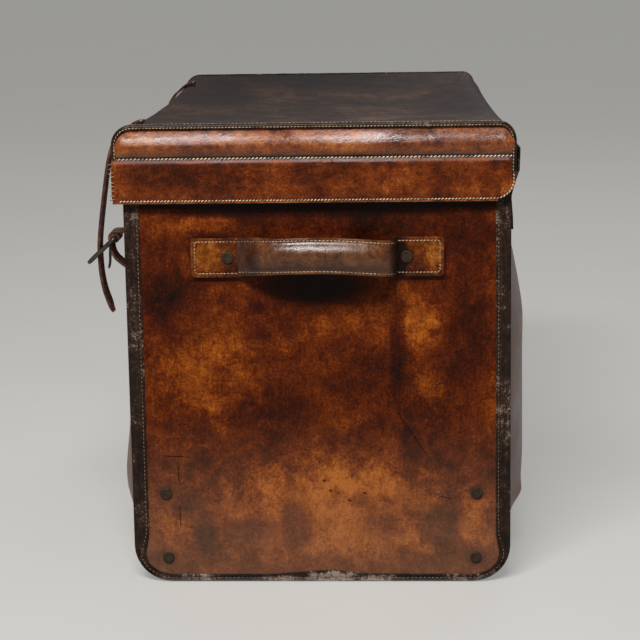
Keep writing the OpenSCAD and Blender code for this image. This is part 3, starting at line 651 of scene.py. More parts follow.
def paste_cloth(name, bm, width, material, body, node, back):
    """A sheet of cloth that lies stretched on what is behind it."""
    length = sum(face.calc_area() for face in bm.faces) / width
    piece = make_piece(name, thicken(bm, 1.15, 0), material, body, "lining_cloth", [node])
    width * MM
    length * MM


linen_colour = (205, 184, 146)
lining_high = edges_mm("front_lining")[1]
lining_depth = wall_t + 0.1 + 1.2
board_x = -lining_high.x
for side, node in ((-1, "front"), (1, "back")):
    bm = wall_skin(side, lining_high.y, lining_depth, board_x)
    bmesh.ops.reverse_faces(bm, faces=bm.faces)
    paste_cloth(node + "_linen", bm, 2 * lining_high.y, woven(node + "_weave", linen_colour, 1, 2),
                "trunk", node + "_lining", node + "_wall_leather")
end_linen_foot = edges_mm("right_lining")[0].z
end_inset = binding_t + lining_depth


def end_linen_point(u, v):
    x, z = end_point(1 - u, v, end_inset, end_linen_foot)
    return Vector((x, -lining_high.y, z))


end_weave = woven("end_weave", linen_colour, 0, 2)
end_linen = sheet(30, 40, end_linen_point)
for name, bm in (("right", end_linen), ("left", mirrored(end_linen))):
    paste_cloth(name + "_linen", bm, 2 * (half_w(40) - end_inset), end_weave, "trunk",
                name + "_lining", name + "_end_leather")
floor_top = edges_mm("floor_lining")[1].z
floor_linen = sheet(20, 30, lambda u, v: Vector((
    (2 * u - 1) * board_x, (2 * v - 1) * lining_high.y, floor_top)))
paste_cloth("floor_linen", floor_linen, 2 * board_x, woven("floor_weave", linen_colour, 0, 1),
            "trunk", "floor_lining", "base_board")

# Dividers: two boards covered in green baize, each with a strip of dark leather over its top.
divider_low, divider_high = edges_mm("right_divider")
baize, shader, at = new_material("baize")
nap = at.clouds(3, detail=6, rough=0.8)
rubbed = at.clouds(60, detail=4).step(0.45, 0.75)
finish_shader(shader, (rubbed * 0.5 + nap * 0.5).over(srgb(52, 58, 34), srgb(98, 98, 62)),
              nap * 0.1 + 0.85, nap, 0.3, specular_ior_level=0.15)


def divider_point(u, v):
    knee = corner_r + 20
    z = (divider_low.z + (knee - divider_low.z) * v / 0.1 if v < 0.1
         else knee + (divider_high.z - knee) * (v - 0.1) / 0.9)
    reach = board_x + (divider_high.x - board_x) * min(1, v / 0.1)
    return Vector(((2 * u - 1) * reach, divider_low.y, z))


divider_t = divider_high.y - divider_low.y
both_ends("divider_board", thicken(sheet(20, 20, divider_point), divider_t, 1), baize, "trunk",
          "divider_cloth", "right_divider")
edging_foot = edges_mm("divider_edgings")[0].z


def edging_section(x):
    y0, y1, ridge = divider_low.y, divider_high.y, divider_high.z
    out, foot = ridge + 1.2, edging_foot + 0.4 * waves(x, 0, 0, 30)
    return [Vector((x, y, z)) for y, z in (
        (y0, foot), (y0, ridge), (y1, ridge), (y1, foot), (y1 + 1.2, foot), (y1 + 1.2, out - 1),
        (y1 + 0.4, out - 0.1), (y0 - 0.4, out - 0.1), (y0 - 1.2, out - 1), (y0 - 1.2, foot))]


edging = sweep(spread(-divider_high.x, divider_high.x, 40), edging_section)
make_piece("divider_top_strips", join(edging, mirrored(edging)), binding_leather, "trunk",
           "dark_binding_leather", ["divider_edgings"])

# Mouth binding: the same dark leather is folded over the rim of the body. Its outline has small
# round corners.
rim_inner = binding_t + lining_depth
rim_x, rim_r = half_w(rim_z), 4
rim_path = [(rim_x, y, -1, 0) for y in spread(0, half_l - rim_r, 50)]
rim_path += [(rim_x - rim_r + rim_r * math.cos(a), half_l - rim_r + rim_r * math.sin(a),
              -math.cos(a), -math.sin(a)) for a in spread(0, math.pi / 2, 4)[1:-1]]
rim_path = and_back(rim_path + [(x, half_l, 0, -1) for x in spread(rim_x - rim_r, 0, 34)])
rim_path += [(-x, -y, -in_x, -in_y) for x, y, in_x, in_y in rim_path[1:-1]]


def mouth_section(station):
    x, y, in_x, in_y = station
    lean = (half_w(mouth_low.z) - rim_x) * abs(in_x)
    foot = mouth_low.z + 0.4 * waves(x, y, 0, 26)
    t, top = binding_t, rim_z + binding_t
    ring = ((-lean, foot), (-lean - 0.05, foot + 4), (0.1, top - 1.3), (0.5, top - 0.4),
            (1.4, top), (rim_inner - 1.4, top), (rim_inner - 0.4, top - 0.4),
            (rim_inner, top - 1.3), (rim_inner, foot), (rim_inner - t, foot),
            (rim_inner - t, rim_z), (t, rim_z), (t - lean, foot))
    return [Vector((x + in_x * d, y + in_y * d, z)) for d, z in ring]


def out_of_rim(place):
    return Vector(((abs(place.x) > rim_x - 4) * place.x, (abs(place.y) > half_l - 4) * place.y, 0))


make_piece("rim_strip", sweep(rim_path, mouth_section, loop=True), binding_leather, "trunk",
           "dark_binding_leather", ["mouth_binding"])
rim_row = [Vector((x, y, mouth_low.z + 2.4)) for x, y, in_x, in_y in rim_path + rim_path[:1]]
small_stitch = {"pitch": 4.6, "length": 3.2, "width": 0.75, "slant": 0.1}
sewn("rim_stitches", [rim_row], out_of_rim, binding_thread, "trunk", "dark_binding_leather",
     make_piece, **small_stitch)

# Steel angles inside the lower corners, and the rivets that hold them. The heads are flat,
# brown with age and a little dished.
steel, shader, at = new_material("old_steel")
rust = at.clouds(22, detail=6, rough=0.7).step(0.45, 0.66)
finish_shader(shader, rust.over(srgb(106, 104, 100), srgb(92, 52, 30)), rust * 0.35 + 0.38,
              at.clouds(2, detail=5), 0.12, metallic=0.75)
paint_nodes(steel, "corner_angles")
bronze, shader, at = new_material("rivet_bronze")
patina = at.clouds(5, detail=6, rough=0.75).step(0.35, 0.62)
finish_shader(shader, patina.over(srgb(62, 46, 30), srgb(38, 28, 18)), patina * 0.1 + 0.55,
              at.clouds(1.2, detail=4), 0.12, metallic=0.2, specular_ior_level=0.25)


def lathe(profile):
    """A round shape from pairs of radius and height."""
    def place(u, v):
        radius, height = profile[round(v * (len(profile) - 1))]
        turn = 2 * math.pi * u
        return Vector((radius * math.cos(turn), radius * math.sin(turn), height))
    bm = sheet(24, len(profile) - 1, place)
    bmesh.ops.remove_doubles(bm, verts=bm.verts, dist=0.0001)
    bmesh.ops.recalc_face_normals(bm, faces=bm.faces)
    return bm


def set_rivets(grip, places):
    """Rivets through layers of this thickness, one at each place, which is a matrix."""
    bm = bmesh.new()
    for place in places:
        rivet = lathe([(0, 0.9), (2.6, 0.9), (4.2, 1.1), (5.2, 1.3), (5.8, 1.1), (6.15, 0.6),
                       (6.2, 0), (2, 0), (2, -grip), (4.4, -grip), (4.4, -grip - 0.7),
                       (3.8, -grip - 1), (0, -grip - 1)])
        rivet.transform(place)
        join(bm, rivet)
    return bm


def end_rivet(x, z, lift=0):
    return Matrix.Translation((x, panel_face - lift, z)) @ Matrix.Rotation(math.pi / 2, 4, "X")


wall_rivet_y, wall_rivet_z = -237.8, 48
wall_rivets = [Matrix.Translation((side * (half_w(wall_rivet_z) - binding_t + 0.1), wall_rivet_y,
                                   wall_rivet_z)) @ Matrix.Rotation(side * math.pi / 2, 4, "Y")
               for side in (-1, 1)]
rivets = join(set_rivets(6.8, [end_rivet(x, z) for x, z in corner_rivets]),
              set_rivets(7.1, wall_rivets))
make_piece("corner_rivet_set", join(rivets, mirrored(rivets)), bronze, "trunk", "rivet_bronze",
           ["corner_rivets"])

# Handles: each has two thick sewn tabs and a bowed grip with a stiff core. The grip's leather is
# folded round the core and sewn along both edges; it rises gently on the left and steeply on the
# right.
tab_low, tab_high = edges_mm("right_handle_tabs")
tab_t = tab_high.y - tab_low.y
tab_half = (tab_high.z - tab_low.z) / 2
tab_inner = tab_high.x - 52


def tab_point(side):
    """The face of a tab: a rolled edge, and a furrow for the stitches on its three sewn sides."""
    def place(u, v):
        x = tab_inner + (tab_high.x - tab_inner) * (u if side > 0 else 1 - u)
        from_end = tab_high.x - x
        half = tab_half - (3 - math.sqrt(max(0, 9 - (3 - min(3, from_end)) ** 2)))
        z = handle_z + (2 * v - 1) * half
        edge = min(from_end, half - abs(z - handle_z))
        depth = 0.3 * math.exp(-((x - 90) ** 2 + (z - handle_z) ** 2) / 80)
        for middle, wide, deep in ((4, 0.8, 0.75), (2, 1.2, -0.35)):
            depth += deep * math.exp(-((edge - middle) / wide) ** 2)
        depth += 0.25 * waves(side * x, 90, z, 16) * ramp(edge, 0, 6)
        return Vector((side * x, panel_face - tab_t + 0.15 + depth, z))
    return place


# The marks at x -77 and 82 are painted shade on the tabs, where the grip's ends turn in to them.
tab_marks = marks(
    -305, (-112, 356, 30, 22, 0.16), (118, 352, 16, 22, 0.2), (100, 340, 20, 14, -0.15),
    (-84, 340, 16, 14, -0.15), (-90, 352, 10, 10, -0.3), (90, 352, 12, 12, -0.3),
    (-77, 352, 6, 40, -0.3), (82, 352, 14, 40, -0.6), (0, 374, 300, 2.5, -0.5),
    (0, 331, 300, 2.5, -0.4))
tab_leather = leather("tab_leather", ((24, 9, 3), (62, 23, 5), (96, 43, 9), (132, 72, 18),
                      (172, 116, 56)), cloud=34, shine=0.36, gloss=0.12, contrast=0.8,
                      middle_tone=0.46, stains_and_shade=tab_marks, reach_y=200)
# The grip is darker towards both ends; at the right end, where it turns steeply in to the tab,
# that is painted shade.
grip_marks = marks(-330, (-70, 352, 20, 60, -0.26), (82, 352, 14, 60, -0.4))
grip_leather = leather("grip_leather", ((24, 11, 5), (56, 27, 10), (84, 46, 20), (108, 66, 34),
                       (148, 104, 68)), cloud=40, run=(5, 1, 1), shine=0.32, gloss=0.42,
                       contrast=0.8, lumps=0.4, stains_and_shade=grip_marks, reach_y=200)
tabs = [thicken(sheet(46, 36, tab_point(side)), tab_t - 0.2, 0.7) for side in (-1, 1)]
both_ends("handle_tab_pair", join(*tabs), tab_leather, "trunk", "handle_leather",
          "right_handle_tabs")
both_ends("handle_rivet_pair", set_rivets(9.2, [end_rivet(x, handle_z, tab_t - 0.3)
          for x in (-90, 90)]), bronze, "trunk", "rivet_bronze", "right_handle_rivets")


def curve_through(points, count):
    """Evenly counted points on a smooth curve through a few."""
    ends = [points[0] * 2 - points[1]] + points + [points[-1] * 2 - points[-2]]
    line = []
    for i in range(count + 1):
        whole = min(int(i / count * (len(points) - 1)), len(points) - 2)
        t = i / count * (len(points) - 1) - whole
        a, b, c, d = ends[whole:whole + 4]
        line.append(0.5 * (2 * b + (c - a) * t + (2 * a - 5 * b + 4 * c - d) * t * t
                           + (3 * b - a - 3 * c + d) * t ** 3))
    return line


def heading(line, i):
    """The direction of a line of points at one of them."""
    return (line[min(i + 1, len(line) - 1)] - line[max(i - 1, 0)]).normalized()


grip_half = 18.2
grip_course = curve_through([Vector(p) for p in (
    (-83, -3.4), (-77, -0.2), (-69, 5.4), (-57, 14.4), (-41, 22.6), (-20, 27.2), (0, 28.2),
    (20, 28.2), (40, 27.4), (56, 25.6), (67, 22), (74.5, 16), (78.5, 9), (80.2, 1.8))], 78)
grip_stations = []
for i, middle in enumerate(grip_course):
    run = heading(grip_course, i)
    grip_stations.append((middle, Vector((-run.y, run.x)),
                          handle_z + 7 * (1 - (middle.x / 83) ** 2)))


def grip_section(skin):
    """Rings of the grip: full in the middle, with two flat sewn edges; skin is for the core."""
    levels = (1, 0.97, 0.9, 0.855, 0.81, 0.74, 0.64, 0.5, 0.3, 0.1)
    levels += tuple(-level for level in levels[::-1])

    def section(station):
        middle, out, height = station
        full = 1.7 + 6.8 * max(0, 1 - (middle.x / 81) ** 4) ** 1.2 * ramp(middle.y, -3, 16)
        half = grip_half + 2 * ramp(-middle.x, 30, 80) - 2 * skin
        ring = []
        for front, level in [(1, k) for k in levels] + [(-1, k) for k in levels[::-1]]:
            thick = 1.55 + (full - 1.55) * max(0, 1 - (abs(level) / 0.76) ** 2.1)
            thick = {1: 0.9, 0.855: thick - 0.35}.get(abs(level), thick)
            lumps = 0.35 * waves(middle.x, 0, level * 20, 16) * ramp(middle.y, 4, 20)
            place = middle + out * (front * max(0.4, thick - skin) + lumps)
            ring.append(Vector((place.x, panel_face - tab_t - place.y, height + half * level)))
        return ring
    return section


both_ends("grip_core_rod", sweep(grip_stations[9:-8], grip_section(2.8)), pine, "trunk",
          "handle_core", "right_handle_core")
both_ends("grip_leather", sweep(grip_stations, grip_section(0)), grip_leather, "trunk",
          "handle_leather", "right_handle_grip")
handle_stitches = bmesh.new()
row_x, row_z = tab_high.x - 4, tab_half - 4
for side in (-1, 1):
    tab_row = ((tab_inner + 2, row_z), (row_x - 2, row_z), (row_x, row_z - 2), (row_x, 2 - row_z),
               (row_x - 2, -row_z), (tab_inner + 2, -row_z))
    sew(handle_stitches, [Vector((side * x, panel_face - tab_t + 0.5, handle_z + z))
                          for x, z in tab_row],
        end_out, pitch=3.6, length=2.9, width=1.1, slant=side * 0.15)
    grip_row = [(middle + out * 1.35, z + side * grip_half * 0.855)
                for middle, out, z in grip_stations[4:-3]]
    sew(handle_stitches, [Vector((place.x, panel_face - tab_t - place.y, z))
                          for place, z in grip_row],
        end_out, pitch=3.9, length=3.1, width=1.15, slant=side * 0.15)
pale_thread = thread("pale_thread", (206, 184, 154))
tab_thread = thread("tab_thread", (184, 154, 118))
both_ends("handle_stitching", handle_stitches, tab_thread, "trunk", "handle_leather")

# Hinge: a strip of supple dark leather is sewn on the back wall and on the back of the lid, and
# bends between them along a line. At rest it bulges a little there.
hinge_low, hinge_high = edges_mm("hinge_leather")
flap_low, flap_high = edges_mm("lid_hinge_flap")
hinge_t = flap_high.x - flap_low.x
hinge_half = hinge_high.y - 30


def joint_mm(name):
    """Where a joint of the frame is, in millimetres."""
    joint = next(joint for joint in frame["joints"] if joint["name"] == name)
    return [c / MM for c in joint["pos_m"]]


hinge_z = joint_mm("lid_hinge")[2]


def on_wall(side, y, z, lift):
    """A point on a long wall's face at a height, lifted off it."""
    return wall_point(side, y, face_share * (rim_z - z) / (rim_z - corner_r), -lift)


def hinge_point(u, v):
    y = (1 - 2 * u) * hinge_half
    z = hinge_low.z + (flap_high.z - hinge_low.z) * v
    lean = max(0, min(1, (z - belly_top) / (hinge_z - 0.5 - belly_top))) ** 1.3
    step = 0.3 + (binding_t - 0.1) * ramp(abs(y), flat_half, flat_half + 2)
    wall_x = on_wall(1, y, min(z, hinge_z), step + hinge_t).x
    x = wall_x + (flap_high.x - wall_x) * lean
    pucker = 0.4 * waves(x, y, z, 22) * ramp(abs(z - hinge_z), 2, 9) * ramp(z, 372, 380)
    return Vector((x + pucker, y, z))


hinge_strip = make_piece("hinge_strip", thicken(sheet(90, 44, hinge_point), hinge_t, 0.4),
                         binding_leather, None, "dark_binding_leather",
                         ["hinge_leather", "lid_hinge_flap"])
(hinge_z - 2.5) * MM
(hinge_z + 2.5) * MM
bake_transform(hinge_strip)
row_half = 257
wall_row = [on_wall(1, y, hinge_low.z + 3, 0.3 + hinge_t) for y in spread(-row_half, row_half, 90)]
flap_row = [Vector((flap_high.x + 0.05, y, flap_high.z - 3)) for y in (-row_half, row_half)]
for name, row, body in (("hinge_stitches", wall_row, "trunk"), ("flap_stitches", flap_row, "lid")):
    sewn(name, [row], (1, 0, 0), binding_thread, body, "dark_binding_leather", make_piece,
         **small_stitch)

# Lid: one skin makes its front skirt, its top, which sags between the ends, and its back.
lid_x, lid_y, lid_top = edges_mm("lid_wrap")[1]
lid_r = 20
lid_flat = lid_x - lid_r
lid_t = 4
end_top = lid_top + 5
back_pull = 4.2


def lid_sag(x, y, z):
    """How far the lid's skin hangs at a place; the skirt takes it up over its height."""
    share = 1 - min(1, abs(y) / (lid_y - lid_t - 1)) ** 2
    taken = max(0, min(1, (z - skirt_z - 24) / (lid_top - lid_r - skirt_z - 24)))
    risen = (end_top - lid_top) * taken * min(1, abs(y) / lid_y) ** 4
    return share * (6 * taken + 6 * (1 - min(1, abs(x) / lid_flat) ** 2)) - risen


arc = [(-lid_flat - lid_r * math.cos(a), lid_top - lid_r + lid_r * math.sin(a), -math.cos(a),
        math.sin(a)) for a in spread(0, math.pi / 2, 8)]
lid_course = [(-lid_x, z, -1, 0) for z in spread(skirt_z, lid_top - lid_r, 14)[:-1]] + arc
lid_course += [(x, lid_top, 0, 1) for x in spread(-lid_flat, lid_flat, 44)[1:-1]]
lid_course += [(-x, z, -out_x, out_z) for x, z, out_x, out_z in arc[::-1]]
lid_course += [(lid_x, z, 1, 0) for z in spread(lid_top - lid_r, hinge_z + 2, 8)[1:]]


def lid_skin(x, z, out_x, out_z, y):
    """A point on the lid's outside, with its creases, which die away at the seams. The back
    corners are pulled in a little."""
    calm = ramp(lid_y - abs(y), 6, 50) * ramp(z, skirt_z + 4, skirt_z + 40)
    calm *= ramp(abs(x), 230, 190) * ramp(lid_x - x, -1, 12)
    lift = (waves(x, y * 0.6, z, 60) * 0.9 + waves(x * 0.5, y, z, 17) * 0.35) * calm
    pulled = back_pull * max(0, x - lid_flat) / lid_r + 2 * (x == lid_x) * (1 - ramp(z, 440, 450))
    pulled *= ramp(abs(y), lid_y - 70, lid_y)
    return Vector((x - pulled + out_x * lift, y, z + out_z * lift - lid_sag(x, y, z)))


def lid_point(u, v):
    station = lid_course[round(v * (len(lid_course) - 1))]
    return lid_skin(*station, (1 - 2 * u) * lid_y)


lid_shades = ((16, 9, 6), (34, 20, 14), (50, 32, 23), (70, 48, 36), (98, 74, 58))
lid_marks = [(x, y, 480, rx, 90, amount) for x, y, rx, amount in (
    (-140, 120, 80, -0.24), (60, -80, 80, 0.2), (150, 60, 40, -0.14), (-60, -220, 90, 0.1),
    (0, 300, 240, -0.16))]
lid_leather = leather("lid_leather", lid_shades, cloud=110, run=(1, 9, 1), shine=0.42, gloss=0.2,
                      contrast=1.1, lumps=0.4, stains_and_shade=lid_marks, reach_y=240)
make_piece("lid_skin", thicken(sheet(96, len(lid_course) - 1, lid_point), lid_t, 0.6), lid_leather,
           "lid", "chestnut_leather", ["lid_wrap"])
lid_linen_half = lid_y - lid_t - 1


def lid_linen_point(u, v):
    x, y = (2 * u - 1) * lid_flat, (1 - 2 * v) * lid_linen_half
    return Vector((x, y, lid_top - lid_t - 1.3 - lid_sag(x, y, lid_top)))


paste_cloth("lid_linen", sheet(30, 40, lid_linen_point), 2 * lid_flat,
            woven("lid_weave", linen_colour, 0, 1), "lid", "lid_lining", "lid_skin")

# Lid ends: the leather swells out above a sewn furrow, and a lighter band is sewn on below it.
# A band of the same leather runs along the front of the skirt.
back_r = 21
seam_z = edges_mm("lid_right_band")[1].z - 0.5


def lid_reach(z, side, inset):
    """How far the lid's end reaches to one side at a height, an inset inside its outline."""
    r = lid_r - inset
    inset += 4 * (side > 0) - 1.5 * (side < 0) * ramp(z, seam_z, seam_z - 6)
    if z > end_top - lid_r:
        return lid_flat + math.sqrt(max(0, r * r - (z - end_top + lid_r) ** 2)) - 4 * (side > 0)
    if side > 0 and z < skirt_z + back_r:
        drop = min(1, (skirt_z + back_r - z) / (back_r - inset))
        return lid_x - back_r + (back_r - inset) * math.sqrt(max(0, 1 - drop ** 2))
    return lid_x - inset


def lid_end(low, high, inset, swell, rows):
    """The face of a piece of the lid's end between two heights, out by what swell says."""
    def place(u, v):
        z = low + (high - low) * v
        left, right = lid_reach(z, -1, inset), lid_reach(z, 1, inset)
        x = -left + (left + right) * u
        return Vector((x, -lid_y - swell(x, z, min(x + left, right - x)), z))
    return sheet(130, rows, place)


def curve_at(value, pairs):
    """A soft curve through pairs, read at a value."""
    return sum(lookup(value + 0.35 * k, pairs) for k in (-2, -1, 0, 1, 2)) / 5


def upper_swell(x, z, edge):
    lump = waves(x, 50, z, 34) * 0.8 + waves(x, 90, z, 11) * 0.3
    height = curve_at(z - seam_z, ((-50, 0), (-1.5, 0.1), (0, 0.6), (3, 3.2), (7, 5.4), (11, 6.3),
                                   (14, 6), (18, 4.4), (22, 2.4), (26, 0.8), (30, -0.4),
                                   (34, -1.4)))
    height *= 0.88 + 0.3 * waves(x, 7, 0, 90)
    crease = 0.9 * math.exp(-((x - 112) / 1.6) ** 2) * ramp(z, seam_z, seam_z + 8)
    return height * (0.5 + 0.5 * ramp(edge, 0, 8)) + lump * ramp(height, 1, 3) * 0.6 - crease


def band_swell(x, z, edge):
    low, high = z - skirt_z, seam_z - z
    lump = waves(x, 20, z, 40) * 0.5 + waves(x, 70, z, 13) * 0.22
    height = curve_at(z, ((skirt_z, 0.5), (skirt_z + 0.8, 1.5), (skirt_z + 1.8, 1.6),
                          (skirt_z + 2.8, 0.9), (skirt_z + 4.2, 2), (skirt_z + 10, 2.7),
                          (skirt_z + 26, 2.7), (seam_z - 9, 2.3), (seam_z - 6, 3.2),
                          (seam_z - 4, 2.9), (seam_z - 2, 1.6), (seam_z, 0.6)))
    furrow = math.exp(-((edge - 2.8) / 0.9) ** 2) * ramp(low, 1, 6) * ramp(high, 0, 6)
    return (height * (0.55 + 0.45 * ramp(edge, 0, 3)) - furrow
            + lump * ramp(edge, 1, 12) * ramp(low, 3, 12))


# The first mark, at z 454.5, is painted shade along the foot of the swell, where it turns in to
# the sewn furrow.
upper_marks = marks(-308, (0, 454.5, 600, 3, -0.7), (-150, 466, 50, 12, -0.06),
                    (90, 470, 90, 14, -0.1), (-60, 474, 60, 10, 0.1))
upper_polish = marks(-305, (-180, 470, 50, 24, 0.1), (40, 468, 110, 20, 0.08),
                     (180, 468, 20, 14, 0.08))
upper_leather = leather("lid_end_leather", ((30, 11, 4), (76, 30, 7), (118, 56, 14), (150, 84, 28),
                        (184, 124, 66)), cloud=44, run=(5, 1, 1), shine=0.37, gloss=0.5,
                        contrast=0.8, lumps=0.35, stains_and_shade=upper_marks, polish=upper_polish)
upper_end = lid_end(skirt_z + 0.4, end_top - 1.6, 1.6, upper_swell, 56)
both_ends("lid_upper", thicken(upper_end, 4.2, 0), upper_leather, "lid", "chestnut_leather",
          "lid_right_end")
# The last mark, at z 453.5, is painted shade in the sewn furrow at the band's top edge.
band_marks = marks(
    -308, (-110, 434, 50, 20, -0.1), (-20, 436, 60, 16, -0.08), (60, 424, 60, 18, 0.08),
    (140, 436, 50, 18, -0.12), (-160, 440, 60, 30, -0.2), (190, 420, 14, 20, 0.3),
    (0, 409, 600, 3, 0.25), (0, 453.5, 600, 1.6, -0.4))
band_leather = leather("band_leather", ((24, 9, 3), (62, 22, 5), (98, 40, 9), (132, 64, 18),
                       (176, 110, 56)), cloud=60, run=(5, 1, 1), shine=0.36, gloss=0.15,
                       contrast=0.8, stains_and_shade=band_marks)
both_ends("lid_band", thicken(lid_end(skirt_z, seam_z, 0, band_swell, 34), 2.0, 0), band_leather,
          "lid", "chestnut_leather", "lid_right_band")
front_low, front_high = edges_mm("lid_front_band")


def front_band_point(u, v):
    y = (1 - 2 * u) * front_high.y
    z = front_low.z + (front_high.z - front_low.z) * v
    edge = min(z - front_low.z, front_high.z - z)
    out = 1.7 + 0.5 * ramp(edge, 2, 12) - 0.8 * math.exp(-((edge - 2.6) / 0.8) ** 2)
    return Vector((-lid_x - out - 0.3 * waves(0, y, z, 30) * ramp(edge, 1, 10), y, z))


make_piece("front_band", thicken(sheet(120, 30, front_band_point), 1.7, 0.5), band_leather, "lid",
           "chestnut_leather", ["lid_front_band"])

# Welts: a dark strip is folded over each upper edge of the lid and sewn through. It follows the
# back corners in.
welt_foot, welt_back_foot = edges_mm("lid_right_welt")[0].z, 438
welt_half = [(-lid_flat - lid_r * math.cos(a), end_top - lid_r + lid_r * math.sin(a), math.cos(a),
              -math.sin(a)) for a in spread(0, math.pi / 2, 10)]
welt_half += [(x, end_top, 0, -1) for x in spread(-lid_flat, 0, 50)[1:]]
welt_path = [(-lid_x, z, 1, 0) for z in spread(welt_foot, end_top - lid_r, 4)[:-1]]
welt_path += and_back(welt_half)
welt_path += [(lid_x, z, -1, 0) for z in spread(end_top - lid_r, welt_back_foot, 8)[1:]]
welt_path = [(x - back_pull * max(0, x - lid_flat) / lid_r, z, in_x, in_z)
             for x, z, in_x, in_z in welt_path]


def welt_section(station):
    """A thin fold: its face is narrow, and its top lies further back on the lid."""
    x, z, in_x, in_z = station
    w, back = 3.9 + 0.4 * waves(x, 0, z, 20), 5 + 0.5 * waves(x, 30, z, 26)
    front = -2.6 + 0.25 * waves(x, 60, z, 18)
    ring = ((w, front + 1.6), (w, front + 0.5), (w - 0.5, front), (1.2, front - 0.1),
            (-0.1, front + 0.5), (-0.75, front + 1.6), (-0.85, 1), (-0.7, back - 1), (-0.3, back),
            (0.6, back), (0.6, 0.3), (1.4, -0.5), (w, -0.5))
    return [Vector((x + in_x * d, h - lid_y, z + in_z * d)) for d, h in ring]


both_ends("lid_welt_strip", sweep(welt_path, welt_section), binding_leather, "lid",
          "dark_binding_leather", "lid_right_welt")

# Stitches of the lid: two rows across each end, one round the band's corner, the welts' rows, and
# uneven stitches over the front corner, where the end band meets the front band.
lid_rows = sew(bmesh.new(), [Vector((x, -lid_y - 1.3, seam_z + 0.1)) for x in (-200, 199)],
               end_out, pitch=3.9, length=3.5, width=1.7, slant=0.5)
welt_rows = sew(bmesh.new(), [Vector((x + in_x * 2.5, -lid_y - 2.7, z + in_z * 2.5))
                              for x, z, in_x, in_z in welt_path], end_out, pitch=3.4,
                length=2.6, width=1.0, slant=0.25)
turn_r = back_r - 2.8
band_row = [Vector((-196, -lid_y - 1.5, skirt_z + 2.7))]
band_row += [Vector((lid_x - 3 - back_r + turn_r * math.sin(a), -lid_y - 1.9,
                     skirt_z + back_r - turn_r * math.cos(a))) for a in spread(0, math.pi / 2, 14)]
band_row += [Vector((lid_x - 5.8, -lid_y - 1.9, seam_z - 3))]
sew(lid_rows, band_row, end_out, pitch=3.4, length=3.0, width=1.35, slant=0.5)
for level in spread(skirt_z + 4, seam_z - 5, 8):
    tilt = 4 * waves(level, 0, 0, 7)
    sew(welt_rows, [Vector((-206, -lid_y - 2.4, level)),
                    Vector((-199 + tilt, -lid_y - 3, level + 1.5 + tilt))], end_out,
        pitch=6.5, length=6, width=0.9, slant=0.3 * tilt)
both_ends("welt_face_stitches", welt_rows, tab_thread, "lid", "chestnut_leather")
both_ends("lid_end_stitches", lid_rows, pale_thread, "lid", "chestnut_leather")


def out_of_welt(place):
    return Vector((place.x if abs(place.x) > lid_flat else 0, 0, 40))


top_row = [Vector((x - in_x * 0.85, -lid_y + 3, z - in_z * 0.85))
           for x, z, in_x, in_z in welt_path]
sewn("welt_stitches", [top_row], out_of_welt, pale_thread, "lid", "dark_binding_leather",
     pitch=4, length=2.4, width=0.7, slant=0.1)
front_rows = [[Vector((-lid_x - 1.35, y, z)) for y in (300, -300)]
              for z in (front_low.z + 2.6, front_high.z - 2.6)]
sewn("front_band_stitches", front_rows, (-1, 0, 0), pale_thread, "lid", "chestnut_leather",
     make_piece, pitch=4, length=2.8, width=0.8, slant=0.3)

# Buckles: a forged iron frame, and a tongue that turns on the same heel bar in a leather chape
# that is folded round the bar and sewn to the front wall.
chape_low, chape_high = edges_mm("right_chape")
chape_y = (chape_low.y + chape_high.y) / 2
chape_half = (chape_high.y - chape_low.y) / 2
bar = Vector(joint_mm("right_buckle_swing"))
bar.y = chape_y
iron, shader, at = new_material("dark_iron")
worn = at.clouds(7, detail=6, rough=0.75).step(0.4, 0.7)
finish_shader(shader, worn.over(srgb(88, 84, 80), srgb(44, 38, 34)), worn * 0.22 + 0.34,
              at.clouds(1.5, detail=5), 0.15, metallic=0.85)
frame_l, frame_half = 38, 15
droop = math.radians(-42)
buckle_path = []
for along, across, r, turn in ((0, -1, 2.5, math.pi), (frame_l, -1, 6, -math.pi / 2),
                               (frame_l, 1, 6, 0), (0, 1, 2.5, math.pi / 2)):
    centre = Vector((r if along == 0 else along - r, across * (frame_half - r)))
    for a in spread(turn, turn + math.pi / 2, 6):
        out = Vector((math.cos(a), math.sin(a)))
        buckle_path.append((centre + out * r, out))


def buckle_section(station):
    """A round bar, flattened a little on four sides."""
    middle, out = station
    ring = []
    for a in spread(0, 2 * math.pi, 12)[:-1]:
        side, up = (math.copysign(abs(s) ** 0.75, s) for s in (math.cos(a), math.sin(a)))
        place = middle + out * side * 2.2
        ring.append(Vector((-place.x, place.y, up * 2.1)))
    return ring


buckle = sweep(buckle_path, buckle_section, loop=True)
buckle.transform(Matrix.Translation(bar) @ Matrix.Rotation(droop, 4, "Y"))
both_ends("buckle_bow", buckle, iron, "right_buckle", "buckle_steel", "right_buckle_frame")


def round_y(ring):
    """A section of a ring round the Y axis, from pairs of radius and place along Y."""
    return lambda a: [Vector((r * math.cos(a), y, r * math.sin(a))) for r, y in ring]


eye = round_y(((2.45, -1), (2.45, 1), (2.9, 1.6), (3.7, 1.6), (4.15, 1), (4.15, -1), (3.7, -1.6),
               (2.9, -1.6)))
point_course = curve_through([Vector(p) for p in (
    (-3.2, -3), (-6.6, -9.6), (-7.7, -18), (-8.2, -27), (-9.9, -34.6))], 24)


def point_section(i):
    run = heading(point_course, i)
    r = (1.7 - 0.45 * i / 24) * {23: 0.85, 24: 0.35}.get(i, 1)
    return [Vector((point_course[i].x - run.y * r * math.cos(a), r * math.sin(a),
                    point_course[i].y + run.x * r * math.cos(a)))
            for a in spread(0, 2 * math.pi, 10)[:-1]]


tongue = join(sweep(spread(0, 2 * math.pi, 24)[:-1], eye, loop=True),
              sweep(range(25), point_section))
tongue.transform(Matrix.Translation(bar))
both_ends("tongue_point", tongue, iron, "right_tongue", "buckle_steel", "right_buckle_tongue")

